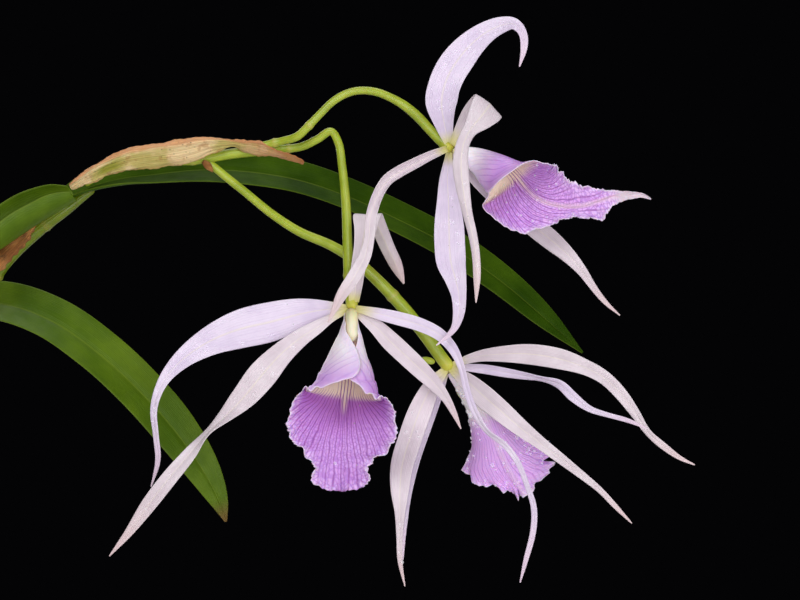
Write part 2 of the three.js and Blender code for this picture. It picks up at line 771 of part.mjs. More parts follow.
addLip(
  "flower_2_lip",
  [
    [at(456.8, 150.4, 0.9), 2.9, 0, 80],
    [at(470, 157.5, 0.6), 6.8, 0, 105],
    [at(482, 166, 0.4), 12.4, 0, 132],
    [at(494, 176, 0), 17.6, 0, 140],
    [at(507, 186, -1), 18, 0, 112],
    [at(521, 193, -2.5), 15.4, 0, 78],
    [at(538, 199, -4), 15, 0, 55],
    [at(556, 203, -5.5), 10.7, 0, 40],
    [at(572, 206, -6.5), 6, 0, 30],
    [at(590, 203, -7), 5.9, 0, 26],
    [at(607, 198, -7.5), 3.2, 0, 22],
    [at(626, 195, -8), 1.8, 0, 18],
    [at(651, 199, -8), 0.4, 0, 10],
  ],
  [0, -1, 0],
);
addColumn("flower_2_column", [
  [at(454.8, 149.4, -2.2), 1.2],
  [at(466, 154.5, -3.8), 1.8],
  [at(474, 160, -5), 2],
  [at(479, 163.5, -6), 1.6],
]);

// Flower 3, lower right, turned away, so that the back of its lip shows.
addTepal("flower_3_left_sepal", [
  [at(443.2, 371.6, 11.9), 1.3, 0, 20],
  [at(432, 386, 11.5), 3.1, 0, 20],
  [at(420.5, 409, 10.5), 4.3, 0, 20],
  [at(410, 438, 8), 4.5, 0, 20],
  [at(402, 466, 5), 4.2, 0, 20],
  [at(400, 490, 3), 3.4, 0, 20],
  [at(400, 512, 2), 2, 0, 22],
  [at(399.5, 536, 2), 1.2, 0, 20],
  [at(400, 561, 2), 0.9, 0, 18],
  [at(405, 586.5, 3), 0.4, 0, 10],
]);
addTepal("flower_3_left_petal", [
  [at(444.2, 373.2, 15.2), 1.1, 0, 20],
  [at(436.5, 394, 18), 2.3, 0, 20],
  [at(425, 425, 19.5), 2.7, 0, 20],
  [at(414, 460, 20), 2.4, 0, 20],
  [at(407, 495, 18.5), 1.7, 0, 20],
  [at(403.5, 530, 16), 1.1, 0, 18],
  [at(403, 560, 14), 0.4, 0, 10],
]);
addTepal("flower_3_dorsal_sepal", [
  [at(454.8, 363.2, 12.2), 1, 0, 20],
  [at(477, 356.8, 10), 2, 0, 22],
  [at(500, 354, 7), 2.9, 0, 22],
  [at(530, 354, 4), 3.8, 0, 20],
  [at(560, 359, 2), 3.8, 0, 20],
  [at(585, 367.5, 1), 2.9, 0, 22],
  [at(603, 377, 1), 2.6, 0, 22],
  [at(620, 393, 1.5), 2.4, 0, 22],
  [at(634, 411, 2.2), 1.9, 10, 22],
  [at(648, 432, 3.2), 1.3, 20, 22],
  [at(664, 446.5, 4.2), 1.3, 0, 22],
  [at(680, 458, 5), 0.8, 0, 18],
  [at(695, 465, 5.5), 0.4, 0, 10],
]);
addTepal("flower_3_right_petal", [
  [at(456.3, 367, 13.8), 1.1, 0, 20],
  [at(484, 369, 12.5), 1.8, 0, 22],
  [at(503, 372, 9.5), 1.8, 0, 22],
  [at(522, 375, 6), 1.6, 20, 24],
  [at(542, 378.5, 2), 1.5, 55, 24],
  [at(560, 384.5, -2), 1.7, 25, 22],
  [at(573, 397, -5), 1.8, 0, 22],
  [at(590, 409, -7), 1.2, 10, 24],
  [at(608, 415, -8), 0.9, 0, 22],
  [at(628, 420.5, -8.5), 0.8, 0, 18],
  [at(648, 429, -9), 0.4, 0, 10],
]);
addTepal("flower_3_right_sepal", [
  [at(454.4, 371.2, 11.4), 1.3, 0, 20],
  [at(467, 381, 9.5), 3.2, 0, 22],
  [at(482, 394.5, 7), 4.1, 0, 20],
  [at(501, 411, 4), 3.9, 0, 20],
  [at(520, 427.5, 2), 3.2, 0, 22],
  [at(540, 443, 1), 2.4, 0, 24],
  [at(560, 458, 0.5), 2, 0, 24],
  [at(580, 473.5, 0.8), 1.5, 0, 24],
  [at(600, 490, 1.6), 1.1, 0, 22],
  [at(616, 507, 2.6), 0.9, 0, 18],
  [at(632, 523.5, 3.5), 0.4, 0, 10],
]);
addLip(
  "flower_3_lip",
  [
    [at(453.6, 375, 13.8), 3, 0, 80],
    [at(460, 390, 14.8), 6.8, 0, 105],
    [at(470, 405, 15.2), 12.4, 0, 132],
    [at(481, 422, 15.6), 16.8, 0, 130],
    [at(491, 440, 16.2), 17.2, 0, 105],
    [at(500, 456, 17), 16.6, 0, 80],
    [at(508, 470, 18), 14.4, 0, 62],
    [at(514, 483, 19), 10.6, 0, 46],
    [at(519, 495, 20), 5, 0, 30],
  ],
  [0, 1, 0],
);
addColumn("flower_3_column", [
  [at(452, 372.4, 16.6), 1.2],
  [at(458, 384, 19), 1.7],
  [at(464, 393.5, 20), 2],
  [at(468, 400, 20.8), 1.6],
]);

export default orchid;
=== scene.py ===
# %% [markdown]
# # A potted orchid with white and lilac flowers
#
# The plant stands in a clay pot full of bark. Slender canes carry leathery leaves, and the youngest
# cane carries a papery spathe with three flowers. Nearly every piece of a plant is a strip or a round
# stalk that grows along a line, so most of this lesson is about one idea: draw the line first, then
# carry a flat grid along it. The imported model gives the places, and this script makes the looks.

# %% Load the frame
import math
import random

import bpy
import numpy as np
from mathutils import Matrix, Vector


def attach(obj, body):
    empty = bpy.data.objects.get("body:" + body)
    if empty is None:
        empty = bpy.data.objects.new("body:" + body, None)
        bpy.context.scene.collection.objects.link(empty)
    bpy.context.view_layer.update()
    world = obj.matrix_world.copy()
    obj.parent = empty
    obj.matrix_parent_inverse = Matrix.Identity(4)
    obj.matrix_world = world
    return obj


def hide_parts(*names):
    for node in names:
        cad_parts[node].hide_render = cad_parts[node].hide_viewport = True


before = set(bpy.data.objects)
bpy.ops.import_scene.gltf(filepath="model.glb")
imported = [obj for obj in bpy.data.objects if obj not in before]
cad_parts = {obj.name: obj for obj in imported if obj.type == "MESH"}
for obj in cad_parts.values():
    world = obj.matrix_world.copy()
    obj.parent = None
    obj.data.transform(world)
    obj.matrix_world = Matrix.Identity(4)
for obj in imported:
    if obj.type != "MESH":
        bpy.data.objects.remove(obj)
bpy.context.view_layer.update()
print("nodes in the frame:", len(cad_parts))

# %% [markdown]
# ## Places
#
# The flowers are placed as a camera in front of them sees them. At the plane of the flowers one pixel
# of an 800 by 600 picture is 0.36 mm, and the plane is 800 mm from the eye. A place is written as a
# pixel and a depth behind that plane. All places here are in millimetres, and only the finished
# vertices are turned into metres.

# %% Units, places and the camera
MM = 0.001
MM_PER_PIXEL = 0.36
EYE_DISTANCE = 800
VIEW_CENTRE = (235, -20, 300)
CENTRE_PIXEL = (400, 300)
SENSOR_WIDTH = 36
LENS = SENSOR_WIDTH * EYE_DISTANCE / (2 * CENTRE_PIXEL[0] * MM_PER_PIXEL)
TOWARDS_EYE = (0, -1, 0)
AWAY_FROM_EYE = (0, 1, 0)
UPWARDS = (0, 0, 1)


def at(px, py, depth):
    """The place in mm that the camera sees at a pixel, depth mm behind the plane of the flowers."""
    step = MM_PER_PIXEL * (EYE_DISTANCE + depth) / EYE_DISTANCE
    x = VIEW_CENTRE[0] + (px - CENTRE_PIXEL[0]) * step
    z = VIEW_CENTRE[2] + (CENTRE_PIXEL[1] - py) * step
    return (x, VIEW_CENTRE[1] + depth, z)


eye = Vector(VIEW_CENTRE) - Vector((0, EYE_DISTANCE, 0))
bpy.ops.object.camera_add(location=eye * MM, rotation=(math.radians(90), 0, 0))
camera = bpy.context.object
camera.data.lens = LENS
camera.data.sensor_width = SENSOR_WIDTH
bpy.context.scene.camera = camera
bpy.context.scene.view_settings.view_transform = "Standard"
print("lens in mm:", round(LENS, 1))

# %% [markdown]
# ## Studio
#
# The pot stands on a round sheet of pale paper. White flowers show best against a dark ground, and the
# camera looks over the far edge of the paper, so the studio round it stays nearly black. Five large
# area lights give soft light: the key from the upper left, one low in front, a weaker fill from the
# right, and two from above and behind that let the thin petals glow at their edges. The sizes and
# places of the studio are in metres.

# %% Node trees in reading order
def srgb(red, green, blue):
    """A colour as it reads on a screen, from 0 to 255, as the linear colour that shaders take."""
    linear = [((c / 255 + 0.055) / 1.055) ** 2.4 if c > 10 else c / 255 / 12.92 for c in (red, green, blue)]
    return (*linear, 1)


class Painter:
    """Writes a node tree in reading order. Each method adds one node and gives its output."""

    def __init__(self, tree):
        self.tree = tree

    def node(self, kind, inputs=None, **settings):
        made = self.tree.nodes.new(kind)
        for name, value in settings.items():
            setattr(made, name, value)
        for key, value in (inputs or {}).items():
            self.send(value, made.inputs[key])
        return made

    def send(self, value, socket):
        if isinstance(value, bpy.types.NodeSocket):
            self.tree.links.new(value, socket)
        else:
            socket.default_value = value

    def maths(self, operation, a, b=0.0, c=0.0):
        return self.node("ShaderNodeMath", {0: a, 1: b, 2: c}, operation=operation).outputs[0]

    def times(self, a, b, plus=None):
        """a times b, and plus a third value where one is given."""
        if plus is None:
            return self.maths("MULTIPLY", a, b)
        return self.maths("MULTIPLY_ADD", a, b, plus)

    def rest(self, value):
        """What the value leaves of 1."""
        return self.maths("SUBTRACT", 1, value)

    def mix(self, share, a, b):
        """Colour a where share is 0, and colour b where it is 1."""
        return self.node("ShaderNodeMix", {0: share, 6: a, 7: b}, data_type="RGBA").outputs[2]

    def layer(self, under, over, mask, amount):
        """Lays the colour over onto the colour under, by a mask and by how much of it is wanted."""
        return self.mix(self.times(mask, amount), under, over)

    def span(self, value, low, high):
        """0 up to low, 1 from high on, and a smooth step between them."""
        inputs = {0: value, 1: low, 2: high}
        return self.node("ShaderNodeMapRange", inputs, interpolation_type="SMOOTHSTEP").outputs[0]

    def fall(self, value, low, high):
        """1 up to low, 0 from high on, and a smooth step between them."""
        return self.rest(self.span(value, low, high))

    def line(self, value, width):
        """1 at each whole number, falling to 0 at width halves of the gap between them."""
        wave = self.times(self.maths("PINGPONG", value, 0.5), 2)
        return self.fall(wave, 0, width)

    def noise(self, vector, scale, detail=2.0):
        inputs = {"Vector": vector, "Scale": scale, "Detail": detail}
        return self.node("ShaderNodeTexNoise", inputs).outputs[0]

    def grain(self, per_metre, detail):
        """Noise that fills the piece, with about this many grains to the metre."""
        return self.noise(self.place(), per_metre, detail)

    def strip(self):
        """How far across and how far along its strip a point lies, each from 0 to 1."""
        uv = self.node("ShaderNodeTexCoord").outputs["UV"]
        apart = self.node("ShaderNodeSeparateXYZ", {0: uv})
        return apart.outputs[0], apart.outputs[1]

    def place(self):
        return self.node("ShaderNodeTexCoord").outputs["Object"]

    def join(self, x, y, z=0.0):
        return self.node("ShaderNodeCombineXYZ", {0: x, 1: y, 2: z}).outputs[0]

    def use(self, group, **inputs):
        """Places a node group, with its inputs by name, and gives its outputs."""
        made = self.node("ShaderNodeGroup", node_tree=group)
        for name, value in inputs.items():
            self.send(value, made.inputs[name.replace("_", " ")])
        return made.outputs

    def bump(self, height, distance_mm, strength):
        inputs = {"Height": height, "Distance": distance_mm * MM, "Strength": strength}
        return self.node("ShaderNodeBump", inputs).outputs[0]


def new_finish(name, **surface):
    """A new material. Its uniform values are set on the shader itself."""
    finish = bpy.data.materials.new(name)
    finish.use_nodes = True
    shader = finish.node_tree.nodes["Principled BSDF"]
    for setting, value in surface.items():
        shader.inputs[setting.replace("_", " ")].default_value = value
    return finish, Painter(finish.node_tree), shader.inputs


# %% Floor and lights
FLOOR_RADIUS = 1.25
FLOOR_SIDES = 128
FLOOR_GAP = 0.0004
PALE_GREY = srgb(226, 224, 220)
STUDIO_GLOW = srgb(4, 4, 5)
MIDDLE_OF_FLOWERS = (0.2, -0.02, 0.26)

bpy.ops.object.select_all(action="DESELECT")
bpy.ops.mesh.primitive_circle_add(vertices=FLOOR_SIDES, radius=FLOOR_RADIUS, fill_type="NGON")
floor = bpy.context.object
floor.name = "floor"
floor.location.z = -FLOOR_GAP
floor_finish, _, _ = new_finish("floor_paper", Base_Color=PALE_GREY, Roughness=0.9)
floor.data.materials.append(floor_finish)

world = bpy.data.worlds.new("studio")
world.use_nodes = True
world.node_tree.nodes["Background"].inputs["Color"].default_value = STUDIO_GLOW
bpy.context.scene.world = world


def softbox(name, place, size, power):
    """A square area light that looks at the flowers."""
    turn = (Vector(MIDDLE_OF_FLOWERS) - Vector(place)).to_track_quat("-Z", "Y").to_euler()
    bpy.ops.object.light_add(type="AREA", location=place, rotation=turn)
    light = bpy.context.object
    light.name = name
    light.data.size = size
    light.data.energy = power


softbox("key_light", (-0.15, -0.95, 0.9), 0.6, 6.4)
softbox("front_light", (0.5, -1.25, 0.25), 0.7, 6)
softbox("fill_light", (1.15, -0.7, 0.4), 0.9, 4)
softbox("top_light", (0.25, 0.3, 1.35), 0.8, 4.5)
softbox("back_light", (-0.3, 1.3, 0.7), 0.9, 4)

# %% [markdown]
# ## Strips and stalks
#
# A petal, a leaf, a lip and a dry sheath are all one thin strip: a midrib, a width that changes along
# it, and a section that is hollow on one side. A grid primitive is carried onto that shape. Its x runs
# across the strip and its y along it, so its own UV map still says where each point lies, which the
# veins need later. Solidify then gives the strip a body that thins out towards its margins.

# %% Working on one piece at a time
SEAM_GAP = 1e-5


def only(piece):
    """Selects this piece and nothing else, and makes it the active one."""
    bpy.ops.object.select_all(action="DESELECT")
    piece.select_set(True)
    bpy.context.view_layer.objects.active = piece


def modify(piece, kind, **settings):
    """Adds a modifier and applies it."""
    only(piece)
    modifier = piece.modifiers.new(kind.lower(), kind)
    for setting, value in settings.items():
        setattr(modifier, setting, value)
    bpy.ops.object.modifier_apply(modifier=modifier.name)


def close_seams(piece):
    """Merges the vertices that lie on each other and turns all faces outwards."""
    only(piece)
    bpy.ops.object.mode_set(mode="EDIT")
    bpy.ops.mesh.select_all(action="SELECT")
    bpy.ops.mesh.remove_doubles(threshold=SEAM_GAP)
    bpy.ops.mesh.normals_make_consistent(inside=False)
    bpy.ops.object.mode_set(mode="OBJECT")


def stand_for(piece, slot, *nodes):
    """The piece is shaded smooth, moves with the plant and is shown in place of these nodes. The slot is not
    used.
    """
    only(piece)
    bpy.ops.object.shade_smooth()
    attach(piece, "root")
    if nodes:
        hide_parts(*nodes)


# %% A line to grow along
class Midrib:
    """A smooth line through rows of [place, value, ...], with the directions across and above it.

    The line is a centripetal Catmull-Rom curve, which doesn't overshoot. Its values are carried along:
    half width, turn, bend and lean for a strip, or just the radius for a stalk."""

    FINE = 16
    VALUES = 4
    TURN = slice(4, 5)

    def __init__(self, rows, face):
        flat = []
        for place, *values in rows:
            unused = [0] * (self.VALUES - len(values))
            flat.append([*place, *values, *unused])
        dense = self.through(np.array(flat, float))
        steps = np.linalg.norm(np.diff(dense[:, :3], axis=0), axis=1)
        self.reached = np.concatenate([[0], np.cumsum(steps)])
        self.length = self.reached[-1]
        along = np.gradient(dense[:, :3], axis=0)
        along /= np.linalg.norm(along, axis=1, keepdims=True)
        flat_side = np.cross(along, np.array(face, float))
        flat_side /= np.linalg.norm(flat_side, axis=1, keepdims=True)
        flat_up = np.cross(flat_side, along)
        turn = np.radians(dense[:, self.TURN])
        side = flat_side * np.cos(turn) - flat_up * np.sin(turn)
        up = flat_up * np.cos(turn) + flat_side * np.sin(turn)
        self.channels = np.hstack([dense, along, side, up])

    def through(self, flat):
        points = np.vstack([2 * flat[0] - flat[1], flat, 2 * flat[-1] - flat[-2]])
        gaps = np.linalg.norm(np.diff(points[:, :3], axis=0), axis=1) ** 0.5
        knots = np.concatenate([[0], np.cumsum(gaps)])
        parts = []
        for i in range(len(flat) - 1):
            p, k = points[i : i + 4], knots[i : i + 4]
            t = np.linspace(k[1], k[2], self.FINE, endpoint=False)[:, None]

            def blend(a, b, start, stop):
                share = (t - k[start]) / (k[stop] - k[start])
                return a + (b - a) * share

            first = blend(blend(p[0], p[1], 0, 1), blend(p[1], p[2], 1, 2), 0, 2)
            second = blend(blend(p[1], p[2], 1, 2), blend(p[2], p[3], 2, 3), 1, 3)
            parts.append(blend(first, second, 1, 2))
        return np.vstack([*parts, flat[-1:]])

    def read(self, t):
        """Place, values, along, side and up at each share t of the length."""
        wanted = np.asarray(t) * self.length
        found = np.column_stack([np.interp(wanted, self.reached, channel) for channel in self.channels.T])
        place, values, *directions = np.split(found, np.cumsum([3, self.VALUES, 3, 3]), axis=1)
        directions = [d / np.linalg.norm(d, axis=1, keepdims=True) for d in directions]
        return place, values.T, *directions


# %% Strips
def flat_grid(name, columns, stations):
    """A fresh grid, with each vertex's place across it from -1 to 1 and along it from 0 to 1."""
    bpy.ops.object.select_all(action="DESELECT")
    bpy.ops.mesh.primitive_grid_add(x_subdivisions=columns, y_subdivisions=stations, size=2, calc_uvs=True)
    piece = bpy.context.object
    piece.name = name
    piece.data.name = name
    flat = np.empty(len(piece.data.vertices) * 3)
    piece.data.vertices.foreach_get("co", flat)
    return piece, flat[0::3], (flat[1::3] + 1) / 2


def put_vertices(piece, places):
    piece.data.vertices.foreach_set("co", (places * MM).ravel())
    piece.data.update()


def nothing(s, mm, half):
    return 0 * s


class Strip:
    """A midrib with a section: an arc whose hollow side looks along the midrib's up direction.

    Lift, scallop and reach move its points off the arc, in mm: along the hollow side's look, outwards at
    the margins, and along the midrib. A centred strip is bent round its line instead of lying on it."""

    AT_MARGIN = 6

    def __init__(self, rows, face=TOWARDS_EYE, lift=nothing, scallop=nothing, reach=nothing, centred=False):
        self.midrib = Midrib(rows, face)
        self.lift = lift
        self.scallop = scallop
        self.reach = reach
        self.centred = centred

    def points(self, s, t):
        """Places in mm, and the direction in which the hollow side looks there."""
        place, (half, _, bend, lean), along, side, up = self.midrib.read(t)
        mm = t * self.midrib.length
        arc = np.radians(np.maximum(bend, 1))
        radius = half / arc
        wider = 1 + self.scallop(s, mm, half) * np.abs(s) ** self.AT_MARGIN / half
        angle = (arc * s * (1 + lean * np.sign(s)) * wider)[:, None]
        radius = radius[:, None]
        looks = up * np.cos(angle) - side * np.sin(angle)
        points = place + side * radius * np.sin(angle) + up * radius * (1 - np.cos(angle))
        points += looks * self.lift(s, mm, half)[:, None] + along * self.reach(s, mm, half)[:, None]
        if self.centred:
            points -= up * radius
        return points, looks


END_TAPER = 12


def thicken(piece, s, t, thickness, edge_share, back_slot=0):
    """A body for a flat strip: thickest on its midrib and edge_share of that at its margins."""
    group = piece.vertex_groups.new(name="body")
    weights = (1 - np.abs(s) ** 3) * np.clip(np.minimum(t, 1 - t) * END_TAPER, 0, 1)
    for index, weight in enumerate(weights):
        group.add([index], float(weight), "REPLACE")
    modify(
        piece, "SOLIDIFY", thickness=thickness * MM, offset=0, vertex_group="body",
        thickness_vertex_group=edge_share, material_offset=back_slot, material_offset_rim=back_slot,
    )
    piece.vertex_groups.clear()


def strip_piece(name, strip, finishes, columns=10, stations=70, thickness=0.8, edge_share=0.3):
    """A finished strip. With two finishes, the first is for its hollow side and the other for its back."""
    piece, s, t = flat_grid(name, columns, stations)
    put_vertices(piece, strip.points(s, t)[0])
    for finish in finishes:
        piece.data.materials.append(finish)
    thicken(piece, s, t, thickness, edge_share, back_slot=len(finishes) - 1)
    modify(piece, "SUBSURF", levels=1, render_levels=1)
    return piece


# %% Stalks
def stalk_piece(name, rows, finish, face=TOWARDS_EYE, sides=14, stations=80, relief=nothing, rings=()):
    """A round stalk with domed ends. Each ring is [mm along, height, half width] and swells it."""
    midrib = Midrib(rows, face)
    piece, s, t = flat_grid(name, sides, stations)
    place, (radius, *_), along, side, up = midrib.read(t)
    mm = t * midrib.length
    from_end = np.minimum(mm, midrib.length - mm) / np.maximum(radius, 0.1)
    dome = np.sqrt(1 - (1 - np.clip(from_end, 0, 1)) ** 2)
    ring = np.zeros(len(s))
    swell = np.zeros(len(s))
    for centre, height, half in rings:
        here = np.exp(-(((mm - centre) / half) ** 2))
        swell += height * here
        ring = np.maximum(ring, here)
    angle = math.pi * s
    around = ((radius + swell + relief(s, mm, radius)) * dome)[:, None]
    points = place + around * (side * np.sin(angle)[:, None] - up * np.cos(angle)[:, None])
    put_vertices(piece, points)
    mask = piece.data.attributes.new("ring", "FLOAT", "POINT")
    mask.data.foreach_set("value", ring.astype(np.float32))
    piece.data.materials.append(finish)
    close_seams(piece)
    return piece


# %% [markdown]
# ## Effects that several finishes share
#
# Veins, fibres, blotches and specks turn up on petals, leaves, canes and paper alike. Each is a node
# group, built once, and each finish places it with its own numbers. These groups give masks. Lines
# that run lengthwise read the strip's UV map, so they narrow and turn with the strip, as real veins do.

# %% Node groups
def new_group(name, inputs, outputs):
    """An empty node group with number inputs, and its painter, inputs and outputs."""
    tree = bpy.data.node_groups.new(name, "ShaderNodeTree")
    for label, default in inputs.items():
        socket = tree.interface.new_socket(name=label, in_out="INPUT", socket_type="NodeSocketFloat")
        socket.default_value = default
    for label in outputs:
        tree.interface.new_socket(name=label, in_out="OUTPUT", socket_type="NodeSocketFloat")
    given = tree.nodes.new("NodeGroupInput").outputs
    result = tree.nodes.new("NodeGroupOutput").inputs
    return tree, Painter(tree), given, result


def make_lengthwise_lines():
    """Fine lines along a strip, each a little stronger or weaker than the next."""
    tree, paint, given, result = new_group(
        "lengthwise_lines", {"Count": 14, "Waver": 0.5, "Width": 0.6}, ["Mask"]
    )
    across, along = paint.strip()
    column = paint.times(across, given["Count"])
    wander = paint.noise(paint.join(column, paint.times(along, 5)), 0.6)
    shifted = paint.times(paint.maths("SUBTRACT", wander, 0.5), given["Waver"], column)
    lines = paint.line(shifted, given["Width"])
    strength = paint.noise(paint.join(column, paint.times(along, 2), 7), 1.3)
    paint.send(paint.times(lines, paint.span(strength, 0.25, 0.7)), result["Mask"])
    return tree


def make_strip_zones():
    """Where on its strip a point lies: near the midrib, the margins, the base or the tip."""
    tree, paint, given, result = new_group(
        "strip_zones",
        {"Middle Width": 0.08, "Margin Width": 0.15, "Base Length": 0.12, "Tip Length": 0.15},
        ["Middle", "Margin", "Base", "Tip"],
    )
    across, along = paint.strip()
    off_middle = paint.times(paint.maths("ABSOLUTE", paint.maths("SUBTRACT", across, 0.5)), 2)
    to_margin = paint.rest(off_middle)
    to_tip = paint.rest(along)
    paint.send(paint.fall(off_middle, 0, given["Middle Width"]), result["Middle"])
    paint.send(paint.fall(to_margin, 0, given["Margin Width"]), result["Margin"])
    paint.send(paint.fall(along, 0, given["Base Length"]), result["Base"])
    paint.send(paint.fall(to_tip, 0, given["Tip Length"]), result["Tip"])
    return tree


def make_blotches():
    """Soft patches of a given size in mm."""
    tree, paint, given, result = new_group("blotches", {"Size": 6, "Low": 0.35, "High": 0.65}, ["Mask"])
    scale = paint.maths("DIVIDE", 1 / MM, given["Size"])
    paint.send(paint.span(paint.grain(scale, 4), given["Low"], given["High"]), result["Mask"])
    return tree


def make_specks():
    """Small round spots. Spacing is in mm, and Share says how many of the places hold one."""
    tree, paint, given, result = new_group("specks", {"Spacing": 2, "Radius": 0.3, "Share": 0.5}, ["Mask"])
    scale = paint.maths("DIVIDE", 1 / MM, given["Spacing"])
    cells = paint.node("ShaderNodeTexVoronoi", {"Vector": paint.place(), "Scale": scale})
    chance = paint.node("ShaderNodeSeparateColor", {0: cells.outputs["Color"]}).outputs[0]
    chosen = paint.maths("LESS_THAN", chance, given["Share"])
    size = paint.times(given["Radius"], paint.times(chance, 1.2, 0.4))
    spot = paint.fall(cells.outputs["Distance"], 0, size)
    paint.send(paint.times(spot, chosen), result["Mask"])
    return tree


lengthwise_lines = make_lengthwise_lines()
strip_zones = make_strip_zones()
blotches = make_blotches()
specks = make_specks()
print("shared effects:", [group.name for group in bpy.data.node_groups])

# %% [markdown]
# ## Petals and sepals
#
# The five outer members of each flower are narrow, waxy and nearly white. Most petals have a lilac
# breath, and most sepals a greyer, pinker one. Each starts yellow-green at the hub, has a pale midrib
# line and fine veins, and ends in a pink tip. Light enters the thin flesh, so the finish has a little
# subsurface scattering. The shapes are strips whose rows follow the real outlines.

# %% Tepal finishes
HUB_GREEN = srgb(222, 216, 84)
MIDRIB_CREAM = srgb(238, 228, 205)


def tepal_finish(name, body, shade, vein, tip):
    finish, paint, surface = new_finish(
        name, Subsurface_Weight=0.15, Subsurface_Scale=0.001, Subsurface_Radius=(1, 0.8, 0.9), IOR=1.4
    )
    zones = paint.use(strip_zones, Middle_Width=0.1, Base_Length=0.08, Tip_Length=0.26)
    veins = paint.use(lengthwise_lines, Count=15, Waver=0.35, Width=0.7)["Mask"]
    veins = paint.times(veins, paint.rest(zones["Tip"]))
    patches = paint.use(blotches, Size=9, Low=0.3, High=0.7)["Mask"]
    colour = paint.layer(body, shade, patches, 0.7)
    colour = paint.layer(colour, vein, veins, 0.3)
    colour = paint.layer(colour, MIDRIB_CREAM, zones["Middle"], 0.45)
    colour = paint.layer(colour, tip, zones["Tip"], 0.6)
    colour = paint.layer(colour, HUB_GREEN, zones["Base"], 0.75)
    paint.send(colour, surface["Base Color"])
    paint.send(paint.times(patches, 0.12, 0.38), surface["Roughness"])
    cells = paint.grain(2600, 3)
    height = paint.times(cells, 0.5, paint.times(veins, -0.6))
    paint.send(paint.bump(height, 0.12, 0.5), surface["Normal"])
    return finish


petal_white = tepal_finish(
    "petal_white",
    body=srgb(238, 224, 246),
    shade=srgb(220, 204, 232),
    vein=srgb(200, 178, 214),
    tip=srgb(226, 196, 212),
)
sepal_white = tepal_finish(
    "sepal_white",
    body=srgb(234, 221, 230),
    shade=srgb(214, 199, 209),
    vein=srgb(198, 178, 190),
    tip=srgb(222, 188, 188),
)


# %% One tepal
TEPAL_GROOVE_DEPTH = 0.3
TEPAL_WAVE_HEIGHT = 0.35
TEPAL_WAVE_LENGTH = 8
STRIPS = {}


def groove(across, depth, width):
    """A soft groove along the midrib. Its width is measured as across is, in mm or in half widths."""
    return -depth * np.exp(-((across / width) ** 2))


def tepal_lift(start):
    """The midrib lies in a shallow groove, and the margins rise and fall slowly."""

    def lift(s, mm, half):
        fades = np.clip(half / 2.5, 0, 1)
        waves = np.sin(mm / TEPAL_WAVE_LENGTH + start + 1.3 * np.sign(s))
        margins = TEPAL_WAVE_HEIGHT * np.abs(s) ** 3 * waves
        return fades * (groove(s, TEPAL_GROOVE_DEPTH, 0.2) + margins)

    return lift


def tepal(node, rows, finish=petal_white, face=TOWARDS_EYE):
    """One petal or sepal. Its rows are [place, half width, turn, bend of half its section]."""
    strip = Strip(rows, face, lift=tepal_lift(len(STRIPS)))
    stand_for(strip_piece(f"{node}_blade", strip, [finish]), "tepal", node)
    STRIPS[node] = strip


# %% Flower 1, seen from the front
tepal(
    "flower_1_dorsal_sepal",
    [
        [at(354, 302, 0), 1.9, -90, 20],
        [at(356, 284, -1), 2.7, -90, 30],
        [at(358.5, 266, -1.3), 2.9, -90, 35],
        [at(362, 246, -1.2), 3.3, -90, 35],
        [at(365, 229, -0.6), 4.2, -90, 25],
        [at(366.5, 217.5, 2), 5, -90, 10],
        [at(370, 215.5, 6), 4.6, -90, 10],
        [at(378, 226, 10.5), 3.2, -90, 20],
        [at(388, 248, 14), 2.8, -90, 30],
        [at(397, 267, 16), 2.4, -90, 30],
        [at(404, 284, 17), 0.3, -90, 20],
    ],
    sepal_white,
    face=(1, 0, 0),
)
tepal(
    "flower_1_left_petal",
    [
        [at(349, 307.5, 1.4), 1, 0, 20],
        [at(322, 310, 1), 3.7, 0, 15],
        [at(300, 314, 0), 5.7, 0, 12],
        [at(270, 322, -2), 7.2, 0, 12],
        [at(240, 329, -4), 7, 0, 14],
        [at(210, 341, -6), 5.4, 0, 20],
        [at(182, 360, -8), 3.5, 0, 25],
        [at(163, 382, -9), 2, 0, 30],
        [at(154, 408, -9), 1.4, 20, 25],
        [at(156, 435, -8), 1.2, 30, 20],
        [at(158, 460, -7), 1, 10, 20],
        [at(151, 487, -6), 0.2, 0, 10],
    ],
)
tepal(
    "flower_1_left_sepal",
    [
        [at(349, 310, -0.2), 0.9, 0, 20],
        [at(332, 317.8, -1.7), 1.5, 0, 25],
        [at(317, 327.5, -3.2), 2.5, 0, 25],
        [at(301, 337.5, -5), 3.2, 0, 20],
        [at(281, 354, -7.5), 4.2, 0, 15],
        [at(262, 375, -10), 5.3, 0, 12],
        [at(244, 397, -12), 4.5, 0, 14],
        [at(224, 418, -13.5), 2.9, 30, 20],
        [at(208, 433, -14.5), 2.4, 62, 25],
        [at(190, 454, -15), 2.6, 25, 22],
        [at(170, 477, -15), 2.9, 5, 18],
        [at(150, 503, -14), 2.8, 0, 16],
        [at(130, 531, -12.5), 1.6, 0, 16],
        [at(109, 556.5, -11), 0.2, 0, 10],
    ],
    sepal_white,
)
